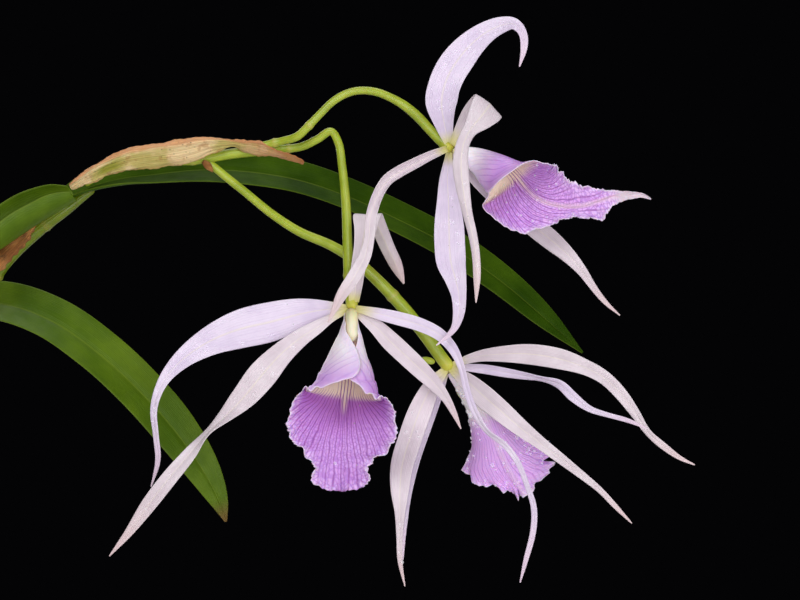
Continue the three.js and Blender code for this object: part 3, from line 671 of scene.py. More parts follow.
tepal(
    "flower_1_right_petal",
    [
        [at(355, 308, 0), 1.1, 0, 20],
        [at(380, 314, -1.6), 2.2, 0, 22],
        [at(400, 319, -3), 2.5, 0, 22],
        [at(420, 325, -5), 2.5, 0, 22],
        [at(440, 335, -6.5), 2.3, 0, 24],
        [at(454, 350, -7.5), 1.9, 10, 26],
        [at(462, 368, -8), 1.4, 20, 26],
        [at(467, 390, -8), 1.3, 10, 26],
        [at(474, 410, -7.5), 1.4, 20, 24],
        [at(487, 431, -6), 1.3, 50, 22],
        [at(503, 443, -4), 1.2, 30, 22],
        [at(517, 461, -2.5), 1.1, 0, 20],
        [at(527, 485, -1.5), 1, 0, 20],
        [at(534, 508, -1), 1.1, 0, 20],
        [at(533, 532, -0.5), 1.1, 0, 20],
        [at(526, 559, 0), 0.9, 0, 18],
        [at(520, 583, 0.5), 0.2, 0, 10],
    ],
)
tepal(
    "flower_1_right_sepal",
    [
        [at(354, 310.5, 1), 1, 0, 20],
        [at(375, 326, 1.3), 2.7, 0, 20],
        [at(390, 341, 1.8), 3.5, 0, 16],
        [at(405, 355, 2.2), 3.6, 0, 16],
        [at(420, 369, 2.4), 3.4, 0, 16],
        [at(435, 384, 2), 2.7, 0, 18],
        [at(446, 398, 1), 1.7, 0, 20],
        [at(454, 413, 0), 1.1, 0, 20],
        [at(461, 429, -1), 0.2, 0, 10],
    ],
    sepal_white,
)

# %% Flower 2, upper right
tepal(
    "flower_2_dorsal_sepal",
    [
        [at(449, 145, 0.4), 1.4, 0, 20],
        [at(444, 122, 0.6), 3.9, 0, 30],
        [at(441.5, 103, 1), 6.1, 0, 32],
        [at(444, 87, 1), 6.2, 0, 32],
        [at(450, 72, 1), 6.2, 0, 30],
        [at(458.5, 59, 1), 6, 0, 28],
        [at(470, 45.5, 0.5), 5.2, 0, 26],
        [at(486, 32.5, -0.5), 4, 0, 24],
        [at(501, 25.5, -2), 3.1, 0, 22],
        [at(514, 24, -3.5), 2.2, 0, 20],
        [at(522.5, 33, -4.5), 1.6, 0, 20],
        [at(524, 47, -5), 1.3, 0, 18],
        [at(519.5, 67, -5), 0.2, 0, 10],
    ],
)
tepal(
    "flower_2_near_petal",
    [
        [at(452, 145, -0.6), 1.1, -90, 20],
        [at(463, 131, -3), 3.4, -90, 18],
        [at(474, 119, -6), 5.4, -90, 14],
        [at(484, 109, -9), 6.2, -90, 10],
        [at(489.5, 104.5, -12.5), 6.2, -90, 8],
        [at(486, 110, -16.5), 6, -90, 10],
        [at(479, 119, -19.5), 4.6, -90, 16],
        [at(470, 130, -22), 2.6, -90, 24],
        [at(463, 145, -24), 2.5, -90, 28],
        [at(461, 165, -24.5), 2.9, -90, 28],
        [at(462.5, 183, -24), 2.7, -90, 26],
        [at(467, 212, -23.5), 1.9, -90, 24],
        [at(472.5, 235, -23), 1.6, -90, 22],
        [at(476, 257, -22.5), 1.45, -90, 20],
        [at(477, 278, -22), 1.3, -90, 20],
        [at(476, 303, -21), 0.2, -90, 10],
    ],
    sepal_white,
    face=(0.72, 0, -0.68),
)
tepal(
    "flower_2_far_petal",
    [
        [at(447, 148.5, 0), 1.3, 0, 60],
        [at(430, 156, -3), 2.4, 0, 90],
        [at(415, 164, -5), 3.2, 0, 105],
        [at(400, 172, -6.5), 3.4, 0, 105],
        [at(387, 181, -8), 3.3, 0, 105],
        [at(377, 197, -9), 2.9, 0, 95],
        [at(370.5, 217, -9.5), 2.4, 0, 70],
        [at(369, 238, -9.5), 2, 0, 40],
        [at(365, 256, -9.5), 2.3, 0, 30],
        [at(354, 277, -9.8), 2.5, 0, 25],
        [at(341.5, 296, -10.2), 2, 0, 25],
        [at(328, 322.5, -11), 0.2, 0, 10],
    ],
    sepal_white,
)
tepal(
    "flower_2_lower_sepal",
    [
        [at(449, 152, 1.7), 1.1, 0, 20],
        [at(447.5, 180, 3.5), 3, 0, 25],
        [at(448.5, 202, 4), 4.3, 0, 22],
        [at(449, 226, 3.5), 5.5, 0, 20],
        [at(449.5, 247, 2.5), 5.7, 0, 20],
        [at(451, 263, 1), 5.5, 0, 20],
        [at(455.5, 279, -1), 4.2, 0, 24],
        [at(459, 296, -3.5), 2.9, 0, 26],
        [at(459, 313, -6.5), 2.2, 0, 26],
        [at(454.5, 328, -9), 1.3, 0, 22],
        [at(445.5, 338, -10.5), 0.7, 0, 15],
        [at(436, 345.5, -11.5), 0.2, 0, 10],
    ],
)
tepal(
    "flower_2_far_sepal",
    [
        [at(451, 150.5, 2.4), 1, 0, 20],
        [at(476, 178, 9), 2.7, 0, 20],
        [at(500, 200, 12.5), 3.4, 0, 18],
        [at(528, 222, 13), 3.8, 0, 16],
        [at(551, 240, 12), 3.7, 0, 16],
        [at(568, 255, 10.5), 2.8, 0, 18],
        [at(582, 271, 9), 1.9, 0, 20],
        [at(593, 287, 7.5), 1.3, 0, 20],
        [at(605, 302, 6), 0.9, 0, 18],
        [at(620, 315.5, 5), 0.2, 0, 10],
    ],
    sepal_white,
)

# %% Flower 3, lower right, turned away
tepal(
    "flower_3_left_sepal",
    [
        [at(446.5, 368.5, 12.6), 1.2, 0, 20],
        [at(432, 386, 11.5), 3.1, 0, 20],
        [at(420.5, 409, 10.5), 4.3, 0, 20],
        [at(410, 438, 8), 4.5, 0, 20],
        [at(402, 466, 5), 4.2, 0, 20],
        [at(400, 490, 3), 3.4, 0, 20],
        [at(400, 512, 2), 2, 0, 22],
        [at(399.5, 536, 2), 1.2, 0, 20],
        [at(400, 561, 2), 0.9, 0, 18],
        [at(405, 586.5, 3), 0.2, 0, 10],
    ],
    sepal_white,
)
tepal(
    "flower_3_left_petal",
    [
        [at(447, 369.5, 14.6), 1, 0, 20],
        [at(436.5, 394, 18), 2.3, 0, 20],
        [at(425, 425, 19.5), 2.7, 0, 20],
        [at(414, 460, 20), 2.4, 0, 20],
        [at(407, 495, 18.5), 1.7, 0, 20],
        [at(403.5, 530, 16), 1.1, 0, 18],
        [at(403, 560, 14), 0.2, 0, 10],
    ],
)
tepal(
    "flower_3_dorsal_sepal",
    [
        [at(450.5, 365.5, 12.8), 0.9, 0, 20],
        [at(477, 356.8, 10), 2, 0, 22],
        [at(500, 354, 7), 2.9, 0, 22],
        [at(530, 354, 4), 3.8, 0, 20],
        [at(560, 359, 2), 3.8, 0, 20],
        [at(585, 367.5, 1), 2.9, 0, 22],
        [at(603, 377, 1), 2.6, 0, 22],
        [at(620, 393, 1.5), 2.4, 0, 22],
        [at(634, 411, 2.2), 1.9, 10, 22],
        [at(648, 432, 3.2), 1.3, 20, 22],
        [at(664, 446.5, 4.2), 1.3, 0, 22],
        [at(680, 458, 5), 0.8, 0, 18],
        [at(695, 465, 5.5), 0.2, 0, 10],
    ],
    sepal_white,
)
tepal(
    "flower_3_right_petal",
    [
        [at(451, 366.5, 13.8), 1, 0, 20],
        [at(484, 369, 12.5), 1.8, 0, 22],
        [at(503, 372, 9.5), 1.8, 0, 22],
        [at(522, 375, 6), 1.6, 20, 24],
        [at(542, 378.5, 2), 1.5, 55, 24],
        [at(560, 384.5, -2), 1.7, 25, 22],
        [at(573, 397, -5), 1.8, 0, 22],
        [at(590, 409, -7), 1.2, 10, 24],
        [at(608, 415, -8), 0.9, 0, 22],
        [at(628, 420.5, -8.5), 0.8, 0, 18],
        [at(648, 429, -9), 0.2, 0, 10],
    ],
)
tepal(
    "flower_3_right_sepal",
    [
        [at(450, 368, 12.4), 1.2, 0, 20],
        [at(467, 381, 9.5), 3.2, 0, 22],
        [at(482, 394.5, 7), 4.1, 0, 20],
        [at(501, 411, 4), 3.9, 0, 20],
        [at(520, 427.5, 2), 3.2, 0, 22],
        [at(540, 443, 1), 2.4, 0, 24],
        [at(560, 458, 0.5), 2, 0, 24],
        [at(580, 473.5, 0.8), 1.5, 0, 24],
        [at(600, 490, 1.6), 1.1, 0, 22],
        [at(616, 507, 2.6), 0.9, 0, 18],
        [at(632, 523.5, 3.5), 0.2, 0, 10],
    ],
    sepal_white,
)
print("tepals:", len(STRIPS))

# %% [markdown]
# ## Lips
#
# The lip is the showy petal: its sides roll over the column as a tube, and beyond the mouth it opens
# into a frilled blade. One strip does all of it, because the bend of its section may pass 180 degrees.
# One side is longer than the other, so that it overlaps, which is the lean value of its rows. The
# frill is a wave that grows towards the margin, with small scallops on top of it.

# %% The veins of a lip
def make_vein_fan():
    """Veins that spread from the throat and fork towards the margin, with a fine net between them.

    It reads each point's place on the flattened lip, in mm: across, beyond the mouth, and to the margin."""
    tree, paint, given, result = new_group(
        "vein_fan", {"Origin": 13, "Count": 15}, ["Past", "Veins", "Net", "Stripes", "Middle", "Edge", "Rim"]
    )
    flat = paint.node("ShaderNodeAttribute", attribute_name="flat_mm").outputs["Vector"]
    across, past, to_margin = paint.node("ShaderNodeSeparateXYZ", {0: flat}).outputs
    off_middle = paint.maths("ABSOLUTE", across)
    from_origin = paint.maths("ADD", paint.maths("MAXIMUM", past, -2), given["Origin"])
    angle = paint.maths("ARCTAN2", across, from_origin)
    fan = paint.times(angle, given["Count"])
    wavy_place = paint.join(paint.times(fan, 0.5), paint.times(past, 0.1))
    wander = paint.maths("SUBTRACT", paint.noise(wavy_place, 1.0, 3), 0.5)
    column = paint.times(wander, 1.2, fan)
    main = paint.line(column, 0.34)
    shaky_place = paint.join(fan, paint.times(past, 0.6))
    shaken = paint.maths("SUBTRACT", paint.noise(shaky_place, 1.4, 2), 0.5)
    forks = paint.line(paint.times(column, 2, shaken), 0.42)
    forks = paint.times(forks, paint.span(past, 3, 12))
    cells = paint.join(paint.times(column, 1.6), paint.times(past, 0.75))
    edges = paint.node("ShaderNodeTexVoronoi", {"Vector": cells, "Scale": 1.0}, feature="DISTANCE_TO_EDGE")
    net = paint.fall(edges.outputs["Distance"], 0.02, 0.2)
    stripes = paint.line(paint.times(across, 0.85, 0.5), 0.5)
    stripes = paint.times(stripes, paint.fall(off_middle, 2.2, 3.6))
    paint.send(past, result["Past"])
    paint.send(paint.maths("MAXIMUM", main, paint.times(forks, 0.65)), result["Veins"])
    paint.send(net, result["Net"])
    paint.send(stripes, result["Stripes"])
    paint.send(paint.fall(off_middle, 0.35, 1.5), result["Middle"])
    paint.send(paint.fall(to_margin, 0.4, 5), result["Edge"])
    paint.send(paint.fall(to_margin, 0.2, 0.9), result["Rim"])
    return tree


vein_fan = make_vein_fan()

# %% Lip finishes
THROAT_CREAM = srgb(244, 224, 206)
DEEP_MAUVE = srgb(180, 106, 196)
LILAC = srgb(212, 158, 236)
# A lighter lilac that is painted light: lips 2 and 3 take it to make up for the shade they lie in.
PAINTED_LIGHT_LILAC = srgb(236, 182, 255)
PALE_LILAC = srgb(238, 206, 255)
VEIN_PURPLE = srgb(130, 42, 146)
VEIN_LILAC = srgb(176, 108, 210)
TUBE_WHITE = srgb(255, 246, 252)
TAIL_WHITE = srgb(220, 200, 216)


def lip_inside_finish(name, origin=13.0, tail_from=1.0, keel=0.0, near=DEEP_MAUVE, far=LILAC):
    """The hollow side: a cream throat, then deep mauve that pales outwards, with dark veins."""
    finish, paint, surface = new_finish(name, Subsurface_Weight=0.15, Subsurface_Scale=0.0015)
    lines = paint.use(vein_fan, Origin=origin)
    outwards = paint.span(lines["Past"], 1, 20)
    blade = paint.mix(outwards, near, far)
    blade = paint.layer(blade, PALE_LILAC, lines["Edge"], 0.75)
    strength = paint.times(outwards, -0.3, 0.95)
    strength = paint.times(lines["Edge"], -0.35, strength)
    blade = paint.layer(blade, VEIN_LILAC, lines["Net"], 0.6)
    blade = paint.layer(blade, VEIN_PURPLE, lines["Veins"], strength)
    blade = paint.layer(blade, TUBE_WHITE, lines["Rim"], 0.45)
    ragged = paint.times(lines["Veins"], 2.4, lines["Past"])
    blade = paint.mix(paint.span(ragged, -1.6, 1.6), THROAT_CREAM, blade)
    keel_here = paint.fall(lines["Past"], 1, 8)
    keel_here = paint.times(lines["Middle"], paint.maths("MAXIMUM", keel_here, keel))
    blade = paint.layer(blade, THROAT_CREAM, keel_here, 0.75)
    stripes_here = paint.fall(lines["Past"], 2, 15)
    blade = paint.layer(blade, VEIN_PURPLE, lines["Stripes"], stripes_here)
    _, along = paint.strip()
    blade = paint.mix(paint.span(along, tail_from, tail_from + 0.08), blade, TAIL_WHITE)
    paint.send(blade, surface["Base Color"])
    paint.send(paint.times(lines["Net"], 0.1, 0.4), surface["Roughness"])
    crinkle = paint.grain(900, 3)
    height = paint.times(lines["Veins"], -0.9, crinkle)
    paint.send(paint.bump(height, 0.2, 0.5), surface["Normal"])
    return finish


def lip_outside_finish(name, blush_from, blush_to, tail_from=1.0, keel=0.8, far=LILAC):
    """The back: white where it leaves the hub, lilac towards the mouth and beyond, with raised veins."""
    finish, paint, surface = new_finish(
        name, Roughness=0.4, Subsurface_Weight=0.15, Subsurface_Scale=0.0015
    )
    lines = paint.use(vein_fan)
    turned_lilac = paint.span(lines["Past"], blush_from, blush_to)
    colour = paint.mix(turned_lilac, TUBE_WHITE, far)
    veined = paint.times(lines["Veins"], paint.times(turned_lilac, 0.6, 0.05))
    colour = paint.mix(veined, colour, VEIN_LILAC)
    colour = paint.layer(colour, PALE_LILAC, lines["Edge"], 0.5)
    colour = paint.layer(colour, MIDRIB_CREAM, lines["Middle"], keel)
    colour = paint.layer(colour, TUBE_WHITE, lines["Rim"], 0.5)
    _, along = paint.strip()
    colour = paint.mix(paint.span(along, tail_from, tail_from + 0.08), colour, TAIL_WHITE)
    paint.send(colour, surface["Base Color"])
    crinkle = paint.grain(900, 3)
    raised = paint.maths("MAXIMUM", lines["Veins"], paint.times(lines["Middle"], 2))
    height = paint.times(raised, 0.6, crinkle)
    paint.send(paint.bump(height, 0.2, 0.5), surface["Normal"])
    return finish


# %% The shape of a lip
class LipShape:
    """How a lip departs from its plain arcs: where it overlaps, ruffles and is scalloped. All in mm."""

    END = 6
    TOOTH = 3.3
    TOOTH_DEPTH = 0.55
    OVERLAP = 1.6
    SIDES_DIFFER = 11
    FRILL_FROM_HALF = 6
    RUFFLE_START = 3
    RUFFLE_GROWS_OVER = 12
    RUFFLE_WAVE = 1.5

    def __init__(self, midrib, mouth_mm, long_side, end_reach, ruffle):
        self.length = midrib.length
        self.mouth_mm = mouth_mm
        self.long_side = long_side
        self.end_reach = end_reach
        self.ruffle = ruffle

    def round_the_margin(self, s, mm, half):
        """A distance that grows down the side and on along the end."""
        return mm - half * np.abs(s) + self.SIDES_DIFFER * np.sign(s)

    def broad(self, half):
        """1 where the lip is broad, falling to 0 in its narrow tail, which has no frill."""
        return np.clip(half / self.FRILL_FROM_HALF, 0, 1)

    def near_end(self, mm):
        return np.clip((mm - self.length + self.END) / self.END, 0, 1)

    def teeth(self, way):
        """Uneven round teeth, from -1 to 1."""
        uneven = way + 0.9 * np.sin(way * 0.83) + 0.5 * np.sin(way * 2.1 + 1)
        rounded = 2 * np.abs(np.sin(math.pi * uneven / self.TOOTH)) - 1
        return 0.8 * rounded + 0.2 * np.sin(way * 4.7)

    def lift(self, s, mm, half):
        """Along the direction in which the hollow side looks."""
        in_tube = 1 - np.clip((mm - self.mouth_mm) / 4, 0, 1)
        over = -self.OVERLAP * in_tube * np.clip(np.abs(s) - 0.55, 0, 1) * np.sign(s * self.long_side)
        open_share = np.clip((mm - self.mouth_mm - self.RUFFLE_START) / self.RUFFLE_GROWS_OVER, 0, 1)
        way = self.round_the_margin(s, mm, half) / self.RUFFLE_WAVE
        waves = np.sin(way) + 0.6 * np.sin(1.73 * way + 1) + 0.35 * np.sin(3.1 * way + 2)
        near_margin = np.maximum(np.abs(s) ** 5, self.near_end(mm) ** 2 * 0.8) * self.broad(half)
        return over + open_share * (self.ruffle * near_margin * waves + groove(s * half, 0.5, 1.2))

    def scallop(self, s, mm, half):
        """Outwards in the plane of the lip, at its sides."""
        opened = np.clip((mm - self.mouth_mm + 6) / 6, 0.15, 1)
        teeth = self.teeth(self.round_the_margin(s, mm, half))
        return opened * self.broad(half) * self.TOOTH_DEPTH * teeth

    def reach(self, s, mm, half):
        """Along the midrib, at its end."""
        rounded = self.end_reach * (1 - np.abs(s) ** 3)
        teeth = self.teeth(self.round_the_margin(s, mm, half))
        return self.near_end(mm) * (rounded + 0.5 * self.TOOTH_DEPTH * teeth * self.broad(half))


def section_rows(rows):
    """Turns rows of [place, radius, degrees one way, degrees the other way, turn] into a strip's rows."""
    made = []
    for place, radius, more, less, turn in rows:
        bend = (more + less) / 2
        made.append([place, radius * math.radians(bend), turn, bend, (more - less) / (more + less)])
    return made


LIP_COLUMNS = 72
LIP_STATIONS = 170
LIP_THICKNESS = 0.5


def lip(node, rows, face, finishes, mouth_row, long_side, end_reach=0.0, ruffle=0.8):
    """One lip. Its tube ends at the mouth row, and the margin on its long side (1 or -1) lies on top."""
    rows = section_rows(rows)
    midrib = Midrib(rows, face)
    mouth_mm = midrib.reached[mouth_row * Midrib.FINE]
    shape = LipShape(midrib, mouth_mm, long_side, end_reach, ruffle)
    strip = Strip(rows, face, shape.lift, shape.scallop, shape.reach)
    piece, s, t = flat_grid(f"{node}_frilled", LIP_COLUMNS, LIP_STATIONS)
    put_vertices(piece, strip.points(s, t)[0])
    half = midrib.read(t)[1][0]
    to_margin = np.minimum(half * (1 - np.abs(s)), (1 - t) * midrib.length + end_reach * (1 - np.abs(s)))
    flat = np.column_stack([s * half, t * midrib.length - mouth_mm, to_margin])
    flat_mm = piece.data.attributes.new("flat_mm", "FLOAT_VECTOR", "POINT")
    flat_mm.data.foreach_set("vector", flat.astype(np.float32).ravel())
    for finish in finishes:
        piece.data.materials.append(finish)
    thicken(piece, s, t, LIP_THICKNESS, edge_share=0.5, back_slot=1)
    stand_for(piece, "lip", node)
    STRIPS[node] = strip
    print(node, "length mm", round(midrib.length, 1), "mouth at mm", round(mouth_mm, 1))


# %% Three lips
lip(
    "flower_1_lip",
    [
        [at(352, 312, 0.8), 1.8, 90, 80, 0],
        [at(351.7, 320, 1.4), 2.6, 140, 100, 0],
        [at(351, 328, 1.8), 3.4, 158, 112, 0],
        [at(350.5, 337, 2.1), 4.5, 184, 132, 0],
        [at(349.5, 346, 2.2), 5.6, 204, 150, 0],
        [at(348.5, 356, 2.2), 6.9, 215, 162, 0],
        [at(348, 365, 2.2), 8.4, 212, 170, 0],
        [at(347.5, 374, 2.2), 9.6, 196, 174, 0],
        [at(347, 378, 2.2), 10.2, 176, 168, 0],
        [at(346.8, 382, 2.2), 10.8, 156, 153, 0],
        [at(346.5, 386, 2.2), 11.4, 144, 143, 0],
        [at(346, 390, 2.2), 12, 134, 132, 0],
        [at(345.5, 394, 2.1), 12.8, 125, 121, 0],
        [at(345, 398, 2), 13.6, 116, 112, 0],
        [at(344.5, 402, 1.7), 14.4, 106, 105, 0],
        [at(344, 407, 1.2), 14.8, 93, 97, 0],
        [at(343.5, 413, 0.3), 16.6, 78, 78, 0],
        [at(343, 420, -1.1), 21.2, 59, 58, 0],
        [at(342.5, 430, -3.2), 31, 38, 38, 0],
        [at(342, 440, -5), 40, 28.5, 28.5, 0],
        [at(341.5, 450, -6.4), 40, 23.5, 24.5, 0],
        [at(341, 456, -7.1), 38, 20, 21, 0],
        [at(341, 462, -7.7), 30, 20.5, 22, 0],
        [at(341, 469, -8.3), 26, 21, 21.5, 0],
        [at(341, 476, -8.7), 28, 21.5, 22, 0],
        [at(341, 484, -9.1), 30, 18, 18, 0],
    ],
    TOWARDS_EYE,
    [
        lip_inside_finish("lip_1_inside"),
        lip_outside_finish("lip_1_outside", blush_from=-21, blush_to=-4),
    ],
    mouth_row=13,
    long_side=1,
    end_reach=2.4,
)
lip(
    "flower_2_lip",
    [
        [at(454, 149.5, 1), 2.2, 80, 80, 0],
        [at(468, 152, 1.6), 3.7, 150, 185, 0],
        [at(482, 155.5, 1.8), 4.9, 150, 212, 0],
        [at(494, 160.5, 1.8), 6.2, 142, 220, 0],
        [at(503, 165, 1.8), 7.3, 132, 214, 0],
        [at(510, 169.5, 1.7), 8.7, 124, 148, 0],
        [at(515, 174, 1.6), 10.3, 118, 108, -4],
        [at(519.5, 179, 1.4), 12.4, 111, 70, -14],
        [at(524, 185, 1.2), 14, 96, 66, -23],
        [at(529, 191, 0.9), 14.8, 78, 62, -30],
        [at(535, 196.5, 0.4), 16.5, 60, 56, -30],
        [at(542, 201, -0.4), 19, 43, 48, -30],
        [at(550, 204.5, -1.4), 20, 27, 42, -30],
        [at(558, 206.5, -2.4), 20, 18, 38, -30],
        [at(567, 207.5, -3.4), 19, 12, 33, -29],
        [at(575, 207.5, -4.3), 18, 11, 30, -28],
        [at(584, 206, -5), 16, 17, 29, -27],
        [at(594, 202.5, -5.6), 15, 25, 24, -26],
        [at(602, 199.5, -6.1), 14, 24, 16, -25],
        [at(610, 197.5, -6.5), 13, 15, 12, -24],
        [at(619, 196, -6.9), 12, 11, 9, -22],
        [at(629, 195, -7.2), 10, 9, 7, -20],
        [at(642, 195.5, -7.4), 8, 6, 5, -20],
        [at(651, 199.5, -7.4), 3, 4, 4, -20],
    ],
    (-0.38, -0.78, -0.5),
    [
        # Lip 2's inside takes lighter lilacs than lip 1, painted light that makes up for the shade it faces
        # into.
        lip_inside_finish("lip_2_inside", origin=11, tail_from=0.8, keel=0.5, near=LILAC, far=PAINTED_LIGHT_LILAC),
        lip_outside_finish("lip_2_outside", blush_from=-22, blush_to=-8, tail_from=0.8),
    ],
    mouth_row=7,
    long_side=-1,
)
lip(
    "flower_3_lip",
    [
        [at(451, 371.5, 13.4), 2.2, 80, 80, 0],
        [at(461, 383, 14), 2.8, 120, 120, 0],
        [at(471, 395, 14.3), 3.6, 150, 150, 0],
        [at(479, 407, 14.6), 4.6, 165, 165, 0],
        [at(485.5, 419, 15), 5.8, 160, 160, 0],
        [at(491, 431, 15.4), 7.2, 145, 150, 0],
        [at(496, 442, 15.8), 9.2, 120, 125, 0],
        [at(500, 451, 16.3), 11.5, 97, 105, 0],
        [at(503.5, 459, 16.8), 14.5, 76, 83, 0],
        [at(507, 467, 17.4), 18, 64, 52, 0],
        [at(511, 475, 18), 19, 60, 33, 0],
        [at(515, 483, 18.7), 18, 62, 16, 0],
        [at(519, 490, 19.5), 17, 58, 9, 0],
        [at(521.5, 495, 20.3), 16, 50, 6, 0],
    ],
    AWAY_FROM_EYE,
    [
        lip_inside_finish("lip_3_inside"),
        # Lip 3's outside takes the lighter lilac, painted light that makes up for the shade it hangs in.
        lip_outside_finish("lip_3_outside", blush_from=-15, blush_to=-5, keel=0.2, far=PAINTED_LIGHT_LILAC),
    ],
    mouth_row=6,
    long_side=1,
    ruffle=2,
)

# %% [markdown]
# ## Columns
#
# The column is the fleshy rod in the middle of an orchid, cream with a green foot, and it lies along
# the open top of the lip. It is a short stalk with a swollen end, where the anther cap sits.

# %% Column finish and the three columns
COLUMN_CREAM = srgb(246, 240, 214)
COLUMN_SHADE = srgb(236, 226, 180)
CAP_RIM_HEIGHT = 0.3
CAP_RIM_HALF_WIDTH = 1.4


def column_finish():
    finish, paint, surface = new_finish(
        "column_cream", Roughness=0.35, Subsurface_Weight=0.3, Subsurface_Scale=0.002
    )
    zones = paint.use(strip_zones, Base_Length=0.7, Tip_Length=0.3)
    patches = paint.use(blotches, Size=2.5, Low=0.35, High=0.7)["Mask"]
    colour = paint.layer(COLUMN_CREAM, COLUMN_SHADE, patches, 0.4)
    colour = paint.layer(colour, HUB_GREEN, zones["Base"], 0.4)
    paint.send(colour, surface["Base Color"])
    paint.send(paint.bump(paint.grain(1800, 2), 0.1, 0.4), surface["Normal"])
    return finish


column_cream = column_finish()


def column(node, rows, cap_mm):
    """One column. The rim of its cap is a ring this far along it."""
    rim = [cap_mm, CAP_RIM_HEIGHT, CAP_RIM_HALF_WIDTH]
    piece = stalk_piece(f"{node}_rod", rows, column_cream, stations=48, rings=[rim])
    stand_for(piece, "column", node)


column(
    "flower_1_column",
    [
        [at(351.5, 308, -1), 2],
        [at(351.5, 318, -1.8), 2.3],
        [at(351.7, 327, -2.4), 2.2],
        [at(352, 335, -2.8), 1.8],
        [at(352, 342, -3.2), 1.2],
    ],
    cap_mm=10,
)
column(
    "flower_2_column",
    [
        [at(453, 149.5, -0.6), 1.1],
        [at(464, 156, -1.3), 1.5],
        [at(471, 159.3, -1.8), 1.6],
        [at(478, 163, -2.2), 1.2],
    ],
    cap_mm=8.5,
)
column(
    "flower_3_column",
    [
        [at(450, 369, 15.4), 1.2],
        [at(458, 384, 19), 1.7],
        [at(464, 393.5, 20), 2],
        [at(468, 400, 20.8), 1.6],
    ],
    cap_mm=11,
)

# %% [markdown]
# ## Flower stalks
#
# Three pedicels leave the common stalk, arch over and carry the flowers. They are round, yellow-green
# and slightly glossy, with darker lengthwise streaks and a few swollen rings where a bract once sat. A
# ring swells the radius and leaves a mask on the mesh, which the finish reads to colour it.

# %% Stalk finish
def stalk_finish(name, light, dark, ring_colour, streaks=9, hub=0.0):
    """A streaked green skin. Hub says how far its far end takes on the colour of a flower's hub."""
    finish, paint, surface = new_finish(name, Roughness=0.32, Subsurface_Weight=0.15, Subsurface_Scale=0.002)
    lines = paint.use(lengthwise_lines, Count=streaks, Waver=0.8, Width=0.9)["Mask"]
    patches = paint.use(blotches, Size=7, Low=0.3, High=0.7)["Mask"]
    dots = paint.use(specks, Spacing=1.3, Radius=0.32, Share=0.2)["Mask"]
    ring = paint.node("ShaderNodeAttribute", attribute_name="ring").outputs["Fac"]
    zones = paint.use(strip_zones, Tip_Length=0.07)
    colour = paint.layer(light, dark, patches, 0.7)
    colour = paint.layer(colour, dark, lines, 0.3)
    colour = paint.layer(colour, ring_colour, dots, 0.2)
    colour = paint.layer(colour, ring_colour, ring, 0.6)
    colour = paint.layer(colour, HUB_GREEN, zones["Tip"], hub)
    paint.send(colour, surface["Base Color"])
    height = paint.times(lines, -0.7, paint.grain(1500, 2))
    paint.send(paint.bump(height, 0.15, 0.5), surface["Normal"])
    return finish


pedicel_green = stalk_finish(
    "pedicel_green",
    light=srgb(176, 190, 60),
    dark=srgb(140, 160, 30),
    ring_colour=srgb(190, 182, 92),
    hub=0.9,
)


def pedicel(node, rows, rings):
    piece = stalk_piece(f"{node}_stem", rows, pedicel_green, stations=130, rings=rings)
    stand_for(piece, "flower_stalk", node)


pedicel(
    "pedicel_1",
    [
        [at(262, 149.5, 6), 1.5],
        [at(300, 147, 5), 1.5],
        [at(317, 139.5, 4), 1.5],
        [at(331, 131.5, 3), 1.45],
        [at(338.5, 143, 2.5), 1.5],
        [at(342, 165, 2), 1.55],
        [at(346, 205, 1.6), 1.7],
        [at(347.5, 245, 1.6), 1.8],
        [at(349, 280, 2.2), 1.9],
        [at(350.5, 295, 2.4), 1.9],
        [at(352, 305, 1.4), 2.2],
        [at(352.4, 311, 0.4), 1.4],
    ],
    rings=[[10, 0.25, 0.8], [80, 0.25, 0.8]],
)
pedicel(
    "pedicel_2",
    [
        [at(246, 149, 5), 1.4],
        [at(264, 145.5, 4), 1.5],
        [at(282, 141, 2.5), 1.4],
        [at(297, 136.5, 0), 1.5],
        [at(310, 124.5, -1), 1.45],
        [at(322, 112, -1), 1.4],
        [at(333, 101.5, -1), 1.4],
        [at(346, 93.8, -1), 1.4],
        [at(360, 90.5, -1), 1.4],
        [at(376, 92, -1), 1.45],
        [at(391, 97.8, -1), 1.5],
        [at(405, 106, 0), 1.7],
        [at(418, 117, 1.6), 1.8],
        [at(431, 131, 3), 1.8],
        [at(441, 141, 3), 1.9],
        [at(449, 147.5, 1.8), 2.2],
        [at(452, 150.2, 0.8), 1.5],
    ],
    rings=[[11, 0.35, 1], [26, 0.25, 0.8]],
)
pedicel(
    "pedicel_3",
    [
        [at(207, 161, 6.6), 1.5],
        [at(225, 176, 7.6), 1.55],
        [at(245, 192, 8.5), 1.55],
        [at(272, 214, 9), 1.6],
        [at(300, 232, 9), 1.7],
        [at(330, 245, 9), 1.85],
        [at(355, 260, 9), 2.1],
        [at(373, 276, 9.5), 2.2],
        [at(390, 293, 10.5), 2.3],
        [at(407, 312, 11.5), 2.4],
        [at(425, 335, 12.4), 2.4],
        [at(441, 357, 13), 2.4],
        [at(448, 366.5, 13), 2.3],
        [at(450.5, 371, 13), 1.5],
    ],
    rings=[[84, 0.3, 0.9]],
)
common_stalk = stalk_piece(
    "flower_stalk_stem",
    [
        [at(84, 185, 8), 1.3],
        [at(104, 171.5, 6.5), 1.4],
        [at(125, 162.5, 6), 1.6],
        [at(150, 158.5, 6), 1.8],
        [at(190, 160, 6), 1.9],
        [at(230, 154, 6), 1.9],
        [at(264, 150, 6), 1.9],
    ],
    pedicel_green,
    rings=[[42, 0.2, 0.8]],
)
stand_for(common_stalk, "flower_stalk", "flower_stalk")
bud = stalk_piece(
    "small_bud_green",
    [
        [at(421, 359, 12), 0.5],
        [at(425, 359.5, 12), 1.1],
        [at(430, 361, 12), 1.25],
        [at(435, 362, 12), 0.8],
    ],
    pedicel_green,
    stations=24,
)
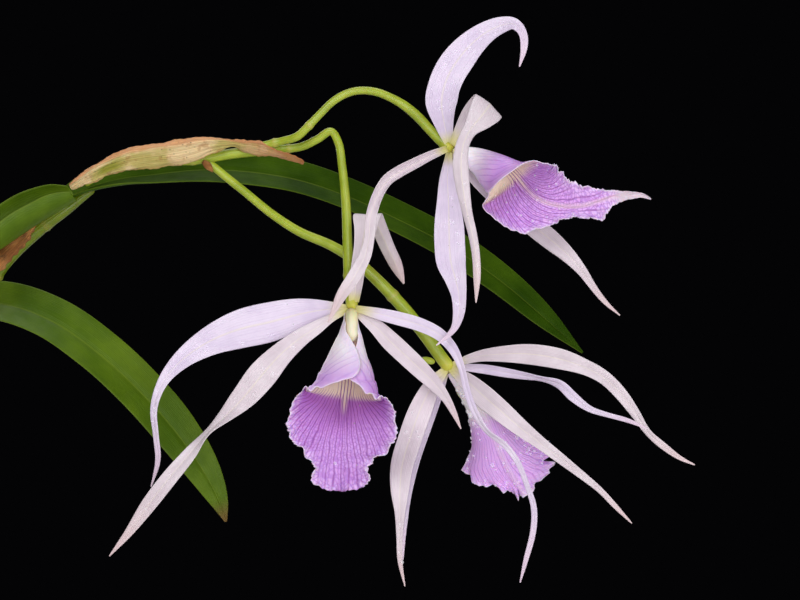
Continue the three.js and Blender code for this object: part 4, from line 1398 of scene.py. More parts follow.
stand_for(bud, "flower_stalk", "small_bud")

# %% [markdown]
# ## Dry papers
#
# The spathe that once wrapped the buds has dried to a tan paper. It is folded lengthwise over the
# stalk and twisted once near its end. Husks of the same paper sit on the canes. The finish needs three
# things: long fibres, dark specks of mildew, and patches that are still green or already orange-brown.

# %% Paper finishes
MILDEW = srgb(92, 66, 34)


def paper_finish(name, light, dark, stain, speck_share=0.3, end_colour=None, top_colour=None, streak=None):
    """Dry paper. It may have another colour at its end and its upper margin, and a green streak."""
    finish, paint, surface = new_finish(name, Subsurface_Weight=0.1, Subsurface_Scale=0.001)
    fibres = paint.use(lengthwise_lines, Count=26, Waver=2.2, Width=0.8)["Mask"]
    patches = paint.use(blotches, Size=9, Low=0.42, High=0.62)["Mask"]
    dirt = paint.use(blotches, Size=3, Low=0.55, High=0.7)["Mask"]
    dots = paint.use(specks, Spacing=1.5, Radius=0.34, Share=speck_share)["Mask"]
    zones = paint.use(strip_zones, Base_Length=0.35, Tip_Length=0.38, Margin_Width=0.25)
    colour = paint.mix(patches, light, dark)
    colour = paint.layer(colour, stain, fibres, 0.45)
    colour = paint.layer(colour, stain, dirt, 0.5)
    colour = paint.layer(colour, stain, zones["Margin"], 0.5)
    across, along = paint.strip()
    if top_colour:
        ragged = paint.times(fibres, 0.1, across)
        colour = paint.layer(colour, top_colour, paint.span(ragged, 0.68, 0.82), 0.85)
    if streak:
        length = paint.times(paint.span(along, 0.1, 0.16), paint.fall(along, 0.2, 0.27))
        off_streak = paint.maths("ABSOLUTE", paint.maths("SUBTRACT", across, 0.42))
        colour = paint.layer(colour, streak, length, paint.fall(off_streak, 0.08, 0.22))
    if end_colour:
        colour = paint.layer(colour, end_colour, zones["Tip"], 0.8)
    colour = paint.layer(colour, MILDEW, dots, 0.7)
    paint.send(colour, surface["Base Color"])
    paint.send(paint.times(patches, 0.15, 0.6), surface["Roughness"])
    height = paint.times(fibres, 0.7, paint.grain(420, 4))
    paint.send(paint.bump(height, 0.35, 0.8), surface["Normal"])
    return finish


spathe_paper = paper_finish(
    "spathe_paper",
    light=srgb(236, 208, 156),
    dark=srgb(196, 182, 104),
    stain=srgb(160, 100, 44),
    speck_share=0.5,
    end_colour=srgb(172, 96, 44),
    top_colour=srgb(232, 164, 112),
    streak=srgb(146, 144, 40),
)
husk_paper = paper_finish("husk_paper", srgb(172, 146, 104), srgb(140, 116, 76), srgb(104, 78, 46))
brown_paper = paper_finish("brown_paper", srgb(196, 132, 66), srgb(150, 92, 36), srgb(98, 56, 22))

# %% Folds of the papers
PAPER_THICKNESS = 0.45
HUSK_THICKNESS = 0.4
PAPER_EDGE_SHARE = 0.6


def paper_lift(crease, wrinkle, pleat=0.0):
    """A crease along the middle, pleats that run lengthwise and uneven wrinkles, each by its depth in mm."""

    def lift(s, mm, half):
        fades = np.clip(half / 3, 0, 1)
        folds = np.sin(mm / 3.4 + 4 * s) + 0.7 * np.sin(mm / 1.9 - 6 * s + 1)
        drift = s + 0.12 * np.sin(mm / 11)
        pleats = np.abs(np.mod(3 * drift + 0.4, 1) - 0.5) - 0.25
        wrinkles = wrinkle * folds * (0.2 + np.abs(s))
        return fades * (groove(s, crease, 0.15) + wrinkles + pleat * pleats)

    return lift


def frayed(s, mm, half):
    """A slightly ragged margin."""
    return 0.3 * np.sin(mm * 0.8) + 0.2 * np.sin(mm * 2.3 + np.sign(s))


# %% Spathe and bract
spathe_rows = [
    [at(70, 187.5, 3.5), 1.3, 0, 50],
    [at(82, 180, 2.5), 2.4, 0, 60],
    [at(95, 172.5, 1.5), 3.5, 0, 62],
    [at(110, 165.5, 1), 4, 0, 62],
    [at(127, 159.5, 0.5), 4.8, 0, 62],
    [at(145, 156.5, 0), 5.1, 0, 62],
    [at(162, 154.3, 0), 5.6, 0, 62],
    [at(180, 151.8, 0), 5.6, 0, 62],
    [at(195, 148.3, 0.3), 5, 0, 60],
    [at(208, 145.3, 0.6), 3.9, 0, 58],
    [at(222, 143.8, 1), 2.6, 0, 55],
    [at(234, 144, 1.4), 1.7, 30, 50],
    [at(244, 146.3, 1.8), 2.2, 10, 50],
    [at(258, 147.8, 2), 3, 0, 50],
    [at(270, 151.5, 2), 2, 0, 45],
    [at(281, 155.3, 1.8), 1.2, 20, 40],
    [at(291, 157.6, 1.5), 1.5, 0, 40],
    [at(304, 163, 1), 0.3, 0, 20],
]
spathe_lift = paper_lift(crease=0.35, wrinkle=0.2, pleat=0.45)
spathe_strip = Strip(spathe_rows, AWAY_FROM_EYE, spathe_lift, scallop=frayed)
spathe = strip_piece(
    "spathe_sheet",
    spathe_strip,
    [spathe_paper],
    columns=30,
    stations=150,
    thickness=PAPER_THICKNESS,
    edge_share=PAPER_EDGE_SHARE,
)
stand_for(spathe, "dry_sheath", "spathe")

bract_rows = [
    [at(203, 161, 3.5), 0.9, 0, 30],
    [at(208, 166, 3.4), 1.5, 0, 35],
    [at(213, 172, 4.6), 0.3, 0, 20],
]
bract_strip = Strip(bract_rows, AWAY_FROM_EYE)
bract = strip_piece(
    "bract_scale", bract_strip, [brown_paper], columns=6, stations=16, thickness=PAPER_THICKNESS
)
stand_for(bract, "dry_sheath", "bract")

# %% [markdown]
# ## Leaves
#
# The leaves are long, stiff and leathery, with a channel on the midrib. They are deep green with a
# slight gloss, fine parallel veins and a paler keel and margin. Their thickness tapers to a thin edge.

# %% Leaf finish
KEEL_GREEN = srgb(120, 138, 48)
MARGIN_GREEN = srgb(112, 128, 44)
LEAF_THICKNESS = 1.4
LEAF_CHANNEL_DEPTH = 0.7
LEAF_WAVE_HEIGHT = 0.35
LEAF_WAVE_LENGTH = 19


def leaf_finish(name, light, dark, tip=None, shine=0.14):
    finish, paint, surface = new_finish(name, Specular_IOR_Level=shine)
    zones = paint.use(strip_zones, Middle_Width=0.06, Margin_Width=0.07, Tip_Length=0.05, Base_Length=0.12)
    veins = paint.use(lengthwise_lines, Count=34, Waver=0.4, Width=0.8)["Mask"]
    patches = paint.use(blotches, Size=26, Low=0.3, High=0.7)["Mask"]
    fine_patches = paint.use(blotches, Size=4, Low=0.4, High=0.7)["Mask"]
    colour = paint.mix(patches, dark, light)
    colour = paint.layer(colour, light, veins, 0.3)
    colour = paint.layer(colour, dark, fine_patches, 0.15)
    colour = paint.layer(colour, KEEL_GREEN, zones["Middle"], 0.35)
    colour = paint.layer(colour, MARGIN_GREEN, zones["Margin"], 0.35)
    if tip:
        colour = paint.layer(colour, tip, zones["Tip"], 0.9)
    paint.send(colour, surface["Base Color"])
    paint.send(paint.times(fine_patches, 0.12, 0.38), surface["Roughness"])
    height = paint.times(veins, 0.8, paint.grain(700, 3))
    paint.send(paint.bump(height, 0.12, 0.5), surface["Normal"])
    return finish


leaf_deep = leaf_finish("leaf_deep", srgb(66, 94, 14), srgb(38, 64, 6), shine=0.03)
leaf_bright = leaf_finish("leaf_bright", srgb(96, 122, 24), srgb(64, 92, 8), tip=srgb(120, 90, 50))


def leaf_lift(s, mm, half):
    """A sharp channel on the midrib and slow waves at the margins."""
    wave = LEAF_WAVE_HEIGHT * np.abs(s) ** 2 * np.sin(mm / LEAF_WAVE_LENGTH + 2 * np.sign(s))
    return np.clip(half / 4, 0, 1) * (groove(s, LEAF_CHANNEL_DEPTH, 0.1) + wave)


def leaf(node, rows, face, finish=leaf_bright):
    strip = Strip(rows, face, lift=leaf_lift)
    piece = strip_piece(
        f"{node}_blade", strip, [finish], columns=14, stations=90, thickness=LEAF_THICKNESS
    )
    stand_for(piece, "leaf", node)
    STRIPS[node] = strip


leaf(
    "leaf_right",
    [
        [at(64, 199, 11), 3.4, 0, 75],
        [at(80, 191, 12), 5.2, 0, 75],
        [at(100, 184, 13), 6.4, 0, 65],
        [at(125, 178.5, 14.5), 7.2, 0, 55],
        [at(150, 175.5, 16), 7.8, 0, 45],
        [at(200, 170.5, 19), 9.2, 0, 35],
        [at(250, 172.5, 23), 9.6, 0, 28],
        [at(300, 181, 27), 9.2, 0, 24],
        [at(350, 198, 30), 8.9, 0, 22],
        [at(400, 221, 33), 8.8, 0, 22],
        [at(450, 247, 35), 8.4, 0, 22],
        [at(500, 281, 36), 7.4, 0, 20],
        [at(545, 319, 37), 5.2, 0, 18],
        [at(583, 353, 38), 0.4, 0, 10],
    ],
    (0, -0.7, 0.7),
    leaf_deep,
)
leaf(
    "leaf_left",
    section_rows(
        [
            [at(76, 198.5, 8), 3.6, 120, 90, 0],
            [at(66, 205, 8), 5, 140, 100, 0],
            [at(50, 214, 8), 6.4, 135, 100, 0],
            [at(30, 226, 7), 7.4, 128, 98, 0],
            [at(8, 241, 6), 8, 118, 94, 0],
            [at(-15, 257, 4.5), 9, 98, 84, 0],
            [at(-45, 279, 2), 11.5, 68, 62, 0],
            [at(-95, 325, -3), 16, 45, 43, 0],
            [at(-150, 387, -9), 20, 35, 34, 0],
            [at(-205, 460, -15), 19, 30, 29, 0],
            [at(-252, 535, -20), 13, 26, 25, 0],
            [at(-280, 590, -23), 2, 12, 12, 0],
        ]
    ),
    (0, -0.15, 1),
)
leaf(
    "leaf_lower",
    [
        [at(-152, 401, 34), 4, 0, 60],
        [at(-118, 346, 33), 6.8, 0, 45],
        [at(-65, 308, 32), 8.6, 0, 32],
        [at(0, 304, 30), 9.9, 0, 26],
        [at(51, 321, 30), 10.2, 0, 24],
        [at(98, 353.5, 30), 10.2, 0, 24],
        [at(137, 389, 31), 9.9, 0, 24],
        [at(171.5, 427, 32), 9.2, 0, 22],
        [at(202, 469, 33), 6.9, 0, 20],
        [at(219, 501, 34), 3.6, 0, 15],
        [at(226, 522, 34), 0.4, 0, 10],
    ],
    (0, -0.75, 0.66),
)
leaf(
    "leaf_second_back",
    [
        [(27.5, 15.5, 258), 2.4, 0, 50],
        [(20, 34, 276), 7, 0, 40],
        [(10, 66, 290), 9.5, 0, 30],
        [(-2, 104, 284), 10, 0, 26],
        [(-12, 138, 260), 8.5, 0, 24],
        [(-18, 160, 230), 5, 0, 18],
        [(-20, 170, 208), 0.4, 0, 10],
    ],
    (0, 0.1, 1),
)
leaf(
    "leaf_far_left",
    [
        [(-55.5, -19.6, 220), 2.4, 0, 50],
        [(-72, -26, 243), 7, 0, 42],
        [(-98, -37, 258), 9.6, 0, 32],
        [(-134, -48, 254), 10.2, 0, 26],
        [(-165, -56, 230), 8.4, 0, 24],
        [(-183, -60, 202), 5, 0, 18],
        [(-190, -62, 182), 0.4, 0, 10],
    ],
    (-0.1, 0, 1),
)
leaf(
    "leaf_front",
    [
        [(-55.5, -21.5, 219), 2.2, 0, 50],
        [(-52, -38, 238), 6.6, 0, 42],
        [(-46, -62, 248), 9, 0, 32],
        [(-37, -92, 238), 9.4, 0, 26],
        [(-29, -114, 213), 7.4, 0, 24],
        [(-24, -125, 188), 4.2, 0, 18],
        [(-22, -129, 170), 0.4, 0, 10],
    ],
    (0, -0.1, 1),
)
leaf(
    "leaf_back",
    [
        [(-32.8, 54, 203), 2.4, 0, 50],
        [(-37, 70, 223), 7, 0, 40],
        [(-46, 98, 237), 9.4, 0, 30],
        [(-56, 130, 234), 9.8, 0, 26],
        [(-64, 158, 212), 8, 0, 24],
        [(-69, 174, 186), 4.6, 0, 18],
        [(-71, 181, 166), 0.4, 0, 10],
    ],
    (0, 0.1, 1),
)

# %% [markdown]
# ## Canes, husks, rhizome and roots
#
# The canes are slim stems that thicken a little above their foot, ribbed lengthwise, with a pale ring
# at each joint. Dry husks still hold on to their lower parts, and one to the flowering cane higher up.
# The rhizome that joins them creeps over the bark, and thick roots with a velvety grey skin wander out
# of it. Canes, rhizome and roots are all round stalks.

# %% Canes
CANE_START = 108.05
JOINT_SPACING = 27
JOINT_SWELL = 0.45
JOINT_HALF_WIDTH = 0.9
LAST_JOINT_FROM_END = 8
CANES = {
    "flowering": [
        [(14, -4, CANE_START), 3.6],
        [(18, -5, 140), 5],
        [(26, -6, 175), 5],
        [(38, -6, 210), 4.6],
        [(55, -6, 250), 4.2],
        [(72, -6, 284), 3.8],
        [at(0, 266, 14), 3.1],
        [at(38, 229.5, 13), 2.6],
        [at(66, 209, 12), 2.2],
        [at(82, 197, 13.5), 1.7],
        [at(96, 187.5, 15), 1.1],
    ],
    "second": [
        [(-5, 5, CANE_START), 3.6],
        [(-4, 9, 145), 5],
        [(4, 13, 185), 4.6],
        [(16, 15, 225), 4],
        [(28, 14.2, 262.3), 3],
    ],
    "left": [
        [(-24, 4, CANE_START), 3.6],
        [(-33, -6, 145), 5],
        [(-45, -14, 185), 4.4],
        [(-56, -20, 222), 3],
    ],
    "back": [
        [(-40, 18, CANE_START), 3.6],
        [(-38, 30, 140), 4.8],
        [(-35, 44, 175), 4.4],
        [(-33, 55, 205), 3],
    ],
}
cane_green = stalk_finish("cane_green", srgb(116, 134, 16), srgb(84, 104, 6), srgb(158, 146, 64), streaks=16)
RIB_COUNT = 9
RIB_HEIGHT = 0.09


def ribs(s, mm, radius):
    """Shallow lengthwise ribs."""
    return RIB_HEIGHT * np.cos(RIB_COUNT * math.pi * s) * np.clip(radius / 3, 0, 1)


for cane_name, cane_rows in CANES.items():
    cane_length = Midrib(cane_rows, TOWARDS_EYE).length
    joint_places = np.arange(JOINT_SPACING, cane_length - LAST_JOINT_FROM_END, JOINT_SPACING)
    joints = [[mm, JOINT_SWELL, JOINT_HALF_WIDTH] for mm in joint_places]
    cane = stalk_piece(
        f"cane_{cane_name}_stem", cane_rows, cane_green, sides=36, stations=150, relief=ribs, rings=joints
    )
    stand_for(cane, "cane", f"cane_{cane_name}")

# %% Husks on the canes
SHEATH_CLEARANCE = 1.1


def husk(node, cane_name, start, stop, bends, face, finish=husk_paper):
    """Paper round a stretch of a cane, given as shares of the cane's rows.

    Bends say how far it reaches round each way, in degrees, from its lower to its upper end."""
    cane_rows = CANES[cane_name]
    cane_line = Midrib(cane_rows, TOWARDS_EYE)
    steps = Midrib.FINE * (len(cane_rows) - 1)
    shares = np.linspace(start, stop, len(bends))
    reached = cane_line.reached[np.round(shares * steps).astype(int)] / cane_line.length
    places, (radii, *_), *_ = cane_line.read(reached)
    rows = [
        [tuple(place), (radius + SHEATH_CLEARANCE) * math.radians(bend), 0, bend]
        for place, radius, bend in zip(places, radii, bends)
    ]

    def torn(s, mm, half):
        return 0.5 * (np.sin(mm * 1.7) + 0.6 * np.sin(mm * 3.9 + np.sign(s)))

    def torn_end(s, mm, half):
        last = np.clip(mm / Midrib(rows, face).length * 5 - 4, 0, 1)
        return last * (1.6 * np.sin(7 * s) + np.sin(17 * s + 1))

    lift = paper_lift(crease=0, wrinkle=0.14)
    strip = Strip(rows, face, lift, scallop=torn, reach=torn_end, centred=True)
    piece = strip_piece(
        f"{node}_paper",
        strip,
        [finish],
        columns=30,
        stations=40,
        thickness=HUSK_THICKNESS,
        edge_share=PAPER_EDGE_SHARE,
    )
    stand_for(piece, "dry_sheath", node)


husk(
    "sheath_upper",
    "flowering",
    start=0.576,
    stop=0.72,
    bends=[70, 85, 75, 25],
    face=(0.5, 0.6, -0.6),
    finish=brown_paper,
)
husk("husk_flowering", "flowering", start=0.045, stop=0.2, bends=[150, 150, 140, 90], face=AWAY_FROM_EYE)
husk("husk_second", "second", start=0.1, stop=0.35, bends=[140, 140, 130, 80], face=(0.3, 1, 0))
husk("husk_left", "left", start=0.12, stop=0.45, bends=[140, 140, 130, 80], face=(0.5, 1, 0))
husk("husk_back", "back", start=0.12, stop=0.48, bends=[140, 140, 130, 80], face=(-0.5, 1, 0))

# %% Rhizome
RHIZOME_HEIGHT = 104.85
SCAR_PLACES = range(6, 84, 7)
SCAR_SWELL = 0.4
SCAR_HALF_WIDTH = 0.7
rhizome_brown = stalk_finish(
    "rhizome_brown", srgb(128, 112, 60), srgb(98, 84, 42), srgb(70, 56, 34), streaks=12
)
rhizome_rows = [
    [(-48, 24, RHIZOME_HEIGHT), 3],
    [(-40, 18, RHIZOME_HEIGHT), 4.5],
    [(-24, 4, RHIZOME_HEIGHT), 4.5],
    [(-5, 5, RHIZOME_HEIGHT), 4.5],
    [(14, -4, RHIZOME_HEIGHT), 4.5],
    [(23, -9, RHIZOME_HEIGHT), 3],
]
rhizome = stalk_piece(
    "rhizome_stem",
    rhizome_rows,
    rhizome_brown,
    UPWARDS,
    sides=24,
    stations=120,
    relief=ribs,
    rings=[[mm, SCAR_SWELL, SCAR_HALF_WIDTH] for mm in SCAR_PLACES],
)
stand_for(rhizome, "cane", "rhizome")

# %% Roots
ROOT_HEIGHT = 102.05
ROOT_RADIUS = 1.7
ROOT_TIP_RADIUS = 1
ROOT_GREY = srgb(196, 194, 176)
ROOT_SHADE = srgb(160, 162, 138)
ROOT_SCUFF = srgb(124, 112, 84)
ROOT_TIP_GREEN = srgb(126, 150, 70)


def root_finish():
    finish, paint, surface = new_finish(
        "root_velamen", Roughness=0.85, Sheen_Weight=0.25, Sheen_Roughness=0.5
    )
    patches = paint.use(blotches, Size=5, Low=0.35, High=0.65)["Mask"]
    zones = paint.use(strip_zones, Tip_Length=0.1)
    scuffs = paint.use(specks, Spacing=2.2, Radius=0.4, Share=0.4)["Mask"]
    colour = paint.mix(patches, ROOT_GREY, ROOT_SHADE)
    colour = paint.layer(colour, ROOT_SCUFF, scuffs, 0.5)
    colour = paint.mix(zones["Tip"], colour, ROOT_TIP_GREEN)
    paint.send(colour, surface["Base Color"])
    paint.send(paint.bump(paint.grain(1100, 4), 0.3, 0.8), surface["Normal"])
    return finish


root_velamen = root_finish()


def root_relief(s, mm, radius):
    """A root is never quite round."""
    return 0.14 * np.sin(mm / 2.3 + math.pi * s) + 0.1 * np.sin(mm / 0.9 + 2 * math.pi * s)


def root(node, places, face=UPWARDS):
    """A root through places in mm, slimmer at its tip."""
    radii = [ROOT_RADIUS] * (len(places) - 1) + [ROOT_TIP_RADIUS]
    rows = list(zip(places, radii))
    piece = stalk_piece(f"{node}_strand", rows, root_velamen, face, stations=90, relief=root_relief)
    stand_for(piece, "root", node)


roots_on_bark = {
    "root_front": [(15, -8), (18, -15), (26, -26), (30, -33), (34, -37)],
    "root_left": [(-27, 0), (-30, -7), (-35, -18), (-31, -34), (-22, -46)],
    "root_back": [(-2, 8), (0, 14), (5, 24), (17, 36), (20, 46)],
}
for node, places in roots_on_bark.items():
    root(node, [(x, y, ROOT_HEIGHT) for x, y in places])
root(
    "root_hanging",
    [
        (-39, 23, 104.5),
        (-41, 29, 112),
        (-44, 32, 118.5),
        (-50, 37, 120.5),
        (-56, 41.5, 117.5),
        (-58.5, 44, 109),
        (-57, 44, 93),
        (-53, 42, 74),
        (-54, 38, 60),
    ],
    face=(0.6, 0.8, 0),
)

# %% [markdown]
# ## Pot
#
# The pot is plain fired clay: a tapered wall, a thicker rim with a step under it, and four drain holes.
# A disc is extruded and scaled ring by ring up the outside, over the rim and down the inside, as on
# paper. A bevel softens the corners that a thumb would have rounded, and the holes are cut last.

# %% Pot sizes and shape
POT_HEIGHT = 115
POT_FOOT_RADIUS = 46
POT_TOP_RADIUS = 66
POT_WALL = 6
RIM_HEIGHT = 22
RIM_STEP = 4
POT_FLOOR = 8
DRAIN_HOLES = 4
DRAIN_RADIUS = 5
DRAIN_CIRCLE = 24
DRILL_LENGTH = 30
DRILL_SIDES = 32
POT_SIDES = 128
WALL_RING_HEIGHTS = (20, 45, 70)
RING_STEP = 0.01
EDGE_ROUNDING = 1.2
EDGE_SEGMENTS = 4


def wall_at(z):
    """The pot's outer radius below the rim."""
    return POT_FOOT_RADIUS + (POT_TOP_RADIUS - RIM_STEP - POT_FOOT_RADIUS) * z / POT_HEIGHT


def extrude_rings(profile):
    """Extrudes the selected face through [radius, height] in mm, one ring after the other."""
    for (radius, height), (next_radius, next_height) in zip(profile, profile[1:]):
        rise = (0, 0, (next_height - height) * MM)
        bpy.ops.mesh.extrude_region_move(TRANSFORM_OT_translate={"value": rise})
        scale = next_radius / radius
        bpy.ops.transform.resize(value=(scale, scale, 1))


def make_pot(finish):
    rim_bottom = POT_HEIGHT - RIM_HEIGHT
    profile = [
        [POT_FOOT_RADIUS, 0],
        *[[wall_at(z), z] for z in WALL_RING_HEIGHTS],
        [wall_at(rim_bottom), rim_bottom],
        [POT_TOP_RADIUS - 1, rim_bottom + RING_STEP],
        [POT_TOP_RADIUS - 0.5, rim_bottom + RIM_HEIGHT / 2],
        [POT_TOP_RADIUS, POT_HEIGHT],
        [wall_at(POT_HEIGHT) - POT_WALL, POT_HEIGHT + RING_STEP],
        [wall_at(POT_FLOOR) - POT_WALL, POT_FLOOR],
    ]
    bpy.ops.object.select_all(action="DESELECT")
    bpy.ops.mesh.primitive_circle_add(vertices=POT_SIDES, radius=profile[0][0] * MM, fill_type="NGON")
    pot = bpy.context.object
    pot.name = "pot_clay"
    bpy.ops.object.mode_set(mode="EDIT")
    bpy.ops.mesh.select_all(action="SELECT")
    extrude_rings(profile)
    bpy.ops.mesh.select_all(action="SELECT")
    bpy.ops.mesh.normals_make_consistent(inside=False)
    bpy.ops.object.mode_set(mode="OBJECT")
    modify(
        pot,
        "BEVEL",
        width=EDGE_ROUNDING * MM,
        segments=EDGE_SEGMENTS,
        limit_method="ANGLE",
        angle_limit=math.radians(40),
    )
    for i in range(DRAIN_HOLES):
        angle = (i + 0.5) * 2 * math.pi / DRAIN_HOLES
        place = (DRAIN_CIRCLE * MM * math.cos(angle), DRAIN_CIRCLE * MM * math.sin(angle), 0)
        bpy.ops.mesh.primitive_cylinder_add(
            vertices=DRILL_SIDES, radius=DRAIN_RADIUS * MM, depth=DRILL_LENGTH * MM, location=place
        )
        drill = bpy.context.object
        modify(pot, "BOOLEAN", object=drill, operation="DIFFERENCE", solver="EXACT")
        bpy.data.objects.remove(drill)
    pot.data.materials.clear()
    pot.data.materials.append(finish)
    return pot


# %% Clay
CLAY = srgb(190, 112, 74)
CLAY_DARK = srgb(172, 94, 58)
CLAY_TURNED = srgb(206, 134, 94)
CLAY_DAMP = srgb(140, 72, 44)
LIME_BLOOM = srgb(222, 198, 176)
CLAY_GRIT = srgb(128, 70, 46)


def clay_finish():
    """Fired clay: turning lines, a sandy grain, a lime bloom low down and a damp band near the foot."""
    finish, paint, surface = new_finish("fired_clay")
    apart = paint.node("ShaderNodeSeparateXYZ", {0: paint.place()})
    height = apart.outputs[2]
    turning = paint.noise(paint.join(0.0, 0.0, height), 900, 3)
    big = paint.use(blotches, Size=34, Low=0.35, High=0.7)["Mask"]
    bloom = paint.use(blotches, Size=13, Low=0.5, High=0.72)["Mask"]
    grit = paint.use(specks, Spacing=1.6, Radius=0.3, Share=0.3)["Mask"]
    colour = paint.mix(big, CLAY, CLAY_DARK)
    colour = paint.layer(colour, CLAY_TURNED, paint.span(turning, 0.4, 0.7), 0.25)
    low = paint.fall(height, 0.01, 0.085)
    colour = paint.layer(colour, CLAY_DAMP, low, 0.35)
    limed = paint.times(bloom, paint.times(low, 0.35, 0.15))
    colour = paint.mix(limed, colour, LIME_BLOOM)
    colour = paint.layer(colour, CLAY_GRIT, grit, 0.35)
    paint.send(colour, surface["Base Color"])
    paint.send(paint.times(big, 0.08, 0.8), surface["Roughness"])
    rough = paint.times(turning, 1.5, paint.grain(1400, 4))
    paint.send(paint.bump(rough, 0.35, 0.7), surface["Normal"])
    return finish


pot = make_pot(clay_finish())
stand_for(pot, "pot", "pot")
only(pot)
bpy.ops.object.shade_smooth_by_angle(angle=math.radians(35))
print("pot vertices:", len(pot.data.vertices))

# %% [markdown]
# ## Bark
#
# Orchids grow in coarse bark chips. One chip is a cube that is subdivided and shaken a little out of
# shape. A few such chips are turned, sized and scattered a few hundred times over a dark filling, and
# the whole heap is one mesh, because nobody takes it out of the pot chip by chip.

# %% Growing medium
BARK_BOTTOM = 12
BARK_TOP = 100
CHIP_SEED = 11
CHIP_COUNT = 420
CHIP_KINDS = 5
CHIP_HALF_SIZES = [(3.5, 7), (2.5, 4.5), (1.2, 2.2)]
CHIP_TILT = 32
CHIP_SHAKE = 0.45
CHIP_DEPTHS = (0.5, 5)
FILLING_TOP = BARK_TOP - 4
FILLING_SIDES = 64
ROOM_TO_WALL = 1


def mesh_arrays(piece):
    """A mesh's places and its faces, as arrays that can be copied many times."""
    flat = np.empty(len(piece.data.vertices) * 3)
    piece.data.vertices.foreach_get("co", flat)
    return flat.reshape(-1, 3), [list(face.vertices) for face in piece.data.polygons]


def gather(name, copies):
    """One mesh out of many copies, each a pair of places in metres and faces."""
    places, faces, base = [], [], 0
    for copy_places, copy_faces in copies:
        places.append(copy_places)
        faces += [[base + index for index in face] for face in copy_faces]
        base += len(copy_places)
    mesh = bpy.data.meshes.new(name)
    mesh.from_pydata(np.vstack(places).tolist(), [], faces)
    piece = bpy.data.objects.new(name, mesh)
    bpy.context.scene.collection.objects.link(piece)
    return piece


def one_chip(seed):
    """A rough slab of bark, 2 by 2 by 2 units before it is sized."""
    bpy.ops.object.select_all(action="DESELECT")
    bpy.ops.mesh.primitive_cube_add(size=2)
    bpy.ops.object.mode_set(mode="EDIT")
    bpy.ops.mesh.select_all(action="SELECT")
    bpy.ops.mesh.subdivide(number_cuts=1)
    bpy.ops.transform.vertex_random(offset=CHIP_SHAKE, uniform=1.0, seed=seed)
    bpy.ops.object.mode_set(mode="OBJECT")
    chip = bpy.context.object
    arrays = mesh_arrays(chip)
    bpy.data.objects.remove(chip)
    return arrays


def random_turn(rng, tilt):
    """A turn about the vertical, then a tilt of up to that many degrees."""
    flat = Matrix.Rotation(rng.uniform(0, 2 * math.pi), 3, "Z")
    lean = Matrix.Rotation(math.radians(rng.uniform(-tilt, tilt)), 3, rng.choice("XY"))
    return np.array(flat @ lean)


def room_at(z):
    """How far the bark may reach from the middle of the pot at a height."""
    return wall_at(z) - POT_WALL - ROOM_TO_WALL


def scattered_chips():
    """Chips in the top layer of the pot, turned any way and tilted a little, as copies for gather."""
    rng = random.Random(CHIP_SEED)
    kinds = [one_chip(seed) for seed in range(1, CHIP_KINDS + 1)]
    copies = []
    for _ in range(CHIP_COUNT):
        chip_places, chip_faces = rng.choice(kinds)
        size = np.array([rng.uniform(*limits) for limits in CHIP_HALF_SIZES])
        reach = (room_at(BARK_TOP) - size[0]) * math.sqrt(rng.random())
        angle = rng.uniform(0, 2 * math.pi)
        height = BARK_TOP - rng.uniform(*CHIP_DEPTHS)
        centre = np.array([reach * math.cos(angle), reach * math.sin(angle), height])
        copies.append(((chip_places * size @ random_turn(rng, CHIP_TILT).T + centre) * MM, chip_faces))
    return copies


def dark_filling():
    """The body of bark under the chips, which nobody sees into."""
    bpy.ops.object.select_all(action="DESELECT")
    depth = FILLING_TOP - BARK_BOTTOM
    bpy.ops.mesh.primitive_cone_add(
        vertices=FILLING_SIDES,
        radius1=room_at(BARK_BOTTOM) * MM,
        radius2=room_at(FILLING_TOP) * MM,
        depth=depth * MM,
        location=(0, 0, (BARK_BOTTOM + depth / 2) * MM),
    )
    filling = bpy.context.object
    bpy.ops.object.transform_apply()
    arrays = mesh_arrays(filling)
    bpy.data.objects.remove(filling)
    return arrays


# %% Bark finish and the heap
BARK_BROWN = srgb(92, 58, 36)
BARK_DARK = srgb(58, 36, 24)
BARK_PALE = srgb(146, 104, 68)


def bark_finish():
    finish, paint, surface = new_finish("bark_chips", Roughness=0.88)
    layers = paint.use(blotches, Size=5, Low=0.35, High=0.65)["Mask"]
    pale = paint.use(blotches, Size=11, Low=0.52, High=0.68)["Mask"]
    colour = paint.mix(layers, BARK_BROWN, BARK_DARK)
    colour = paint.layer(colour, BARK_PALE, pale, 0.6)
    paint.send(colour, surface["Base Color"])
    grain = paint.node("ShaderNodeMapping", {"Vector": paint.place(), "Scale": (1, 1, 5)}).outputs[0]
    paint.send(paint.bump(paint.noise(grain, 420, 5), 0.7, 0.9), surface["Normal"])
    return finish


bark = gather("bark_chips_heap", [*scattered_chips(), dark_filling()])
bark.data.materials.append(bark_finish())
stand_for(bark, "growing_medium", "growing_medium")
only(bark)
bpy.ops.object.shade_smooth_by_angle(angle=math.radians(30))
print("bark faces:", len(bark.data.polygons))

# %% [markdown]
# ## Water
#
# Fine drops sit on the petals and the lips. One drop is a small flattened ball. It is copied onto
# places of the strips, which know where they are and which way they look. Their white colour and
# faint glow are a painted highlight, which keeps them bright on the pale petals.

# %% Drops
DROP_SIDES = 8
DROP_RINGS = 5
DROP_RADIUS = 0.27
DROP_RADIUS_SPREAD = 0.45
DROP_FLATNESS = 0.6
DROP_STAND_OFF = 0.35
DROPS_START = 0.12
DROPS_ACROSS = 0.85
WATER_IOR = 1.33
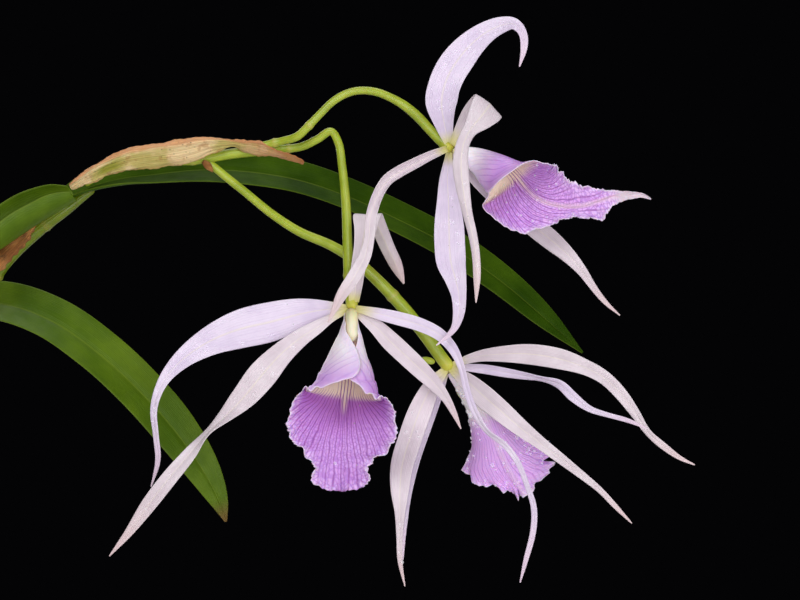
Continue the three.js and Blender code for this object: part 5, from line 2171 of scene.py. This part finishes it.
# Painted highlight: the drops are coloured white and glow faintly, so that they read as bright glints.
PAINTED_DROP_HIGHLIGHT = srgb(250, 250, 255)
water_with_painted_glow, _, _ = new_finish(
    "water_with_painted_glow",
    Base_Color=PAINTED_DROP_HIGHLIGHT,
    Alpha=0.3,
    Roughness=0.03,
    IOR=WATER_IOR,
    Emission_Color=PAINTED_DROP_HIGHLIGHT,
    Emission_Strength=0.2,
)


def one_drop():
    """A ball of radius 1, before it is sized and flattened."""
    bpy.ops.object.select_all(action="DESELECT")
    bpy.ops.mesh.primitive_uv_sphere_add(segments=DROP_SIDES, ring_count=DROP_RINGS, radius=1)
    ball = bpy.context.object
    arrays = mesh_arrays(ball)
    bpy.data.objects.remove(ball)
    return arrays


def drops_on(name, counts, seed, big=1.0):
    """Scatters drops over strips.

    Counts are {node: [how many, side, how far along]}. Side is 1 for the hollow side, -1 for the back."""
    rng = random.Random(seed)
    ball_places, ball_faces = one_drop()
    copies = []
    for node, (count, side, last) in counts.items():
        s = np.array([rng.uniform(-DROPS_ACROSS, DROPS_ACROSS) for _ in range(count)])
        t = np.array([rng.uniform(DROPS_START, last) for _ in range(count)])
        points, looks = STRIPS[node].points(s, t)
        for point, look in zip(points, looks):
            size = big * (DROP_RADIUS + DROP_RADIUS_SPREAD * rng.random() ** 3)
            turn = np.array(Vector(look * side).to_track_quat("Z", "Y").to_matrix())
            shaped = ball_places * np.array([size, size, size * DROP_FLATNESS])
            copies.append(((shaped @ turn.T + point + look * side * DROP_STAND_OFF) * MM, ball_faces))
    piece = gather(name, copies)
    piece.data.materials.append(water_with_painted_glow)
    stand_for(piece, "tepal")
    return len(copies)


drop_count = drops_on(
    "drops_on_flower_2",
    {
        "flower_2_dorsal_sepal": [36, 1, 0.8],
        "flower_2_near_petal": [14, -1, 0.9],
        "flower_2_lower_sepal": [16, 1, 0.9],
        "flower_2_lip": [40, 1, 0.65],
    },
    seed=3,
)
drop_count += drops_on(
    "drops_on_flower_1",
    {
        "flower_1_left_petal": [16, 1, 0.9],
        "flower_1_left_sepal": [12, 1, 0.9],
        "flower_1_lip": [16, 1, 0.9],
    },
    seed=4,
)
drop_count += drops_on(
    "drops_on_flower_3",
    {
        "flower_3_lip": [90, -1, 0.9],
        "flower_3_left_sepal": [8, 1, 0.9],
    },
    seed=5,
    big=1.6,
)
print("drops:", drop_count)
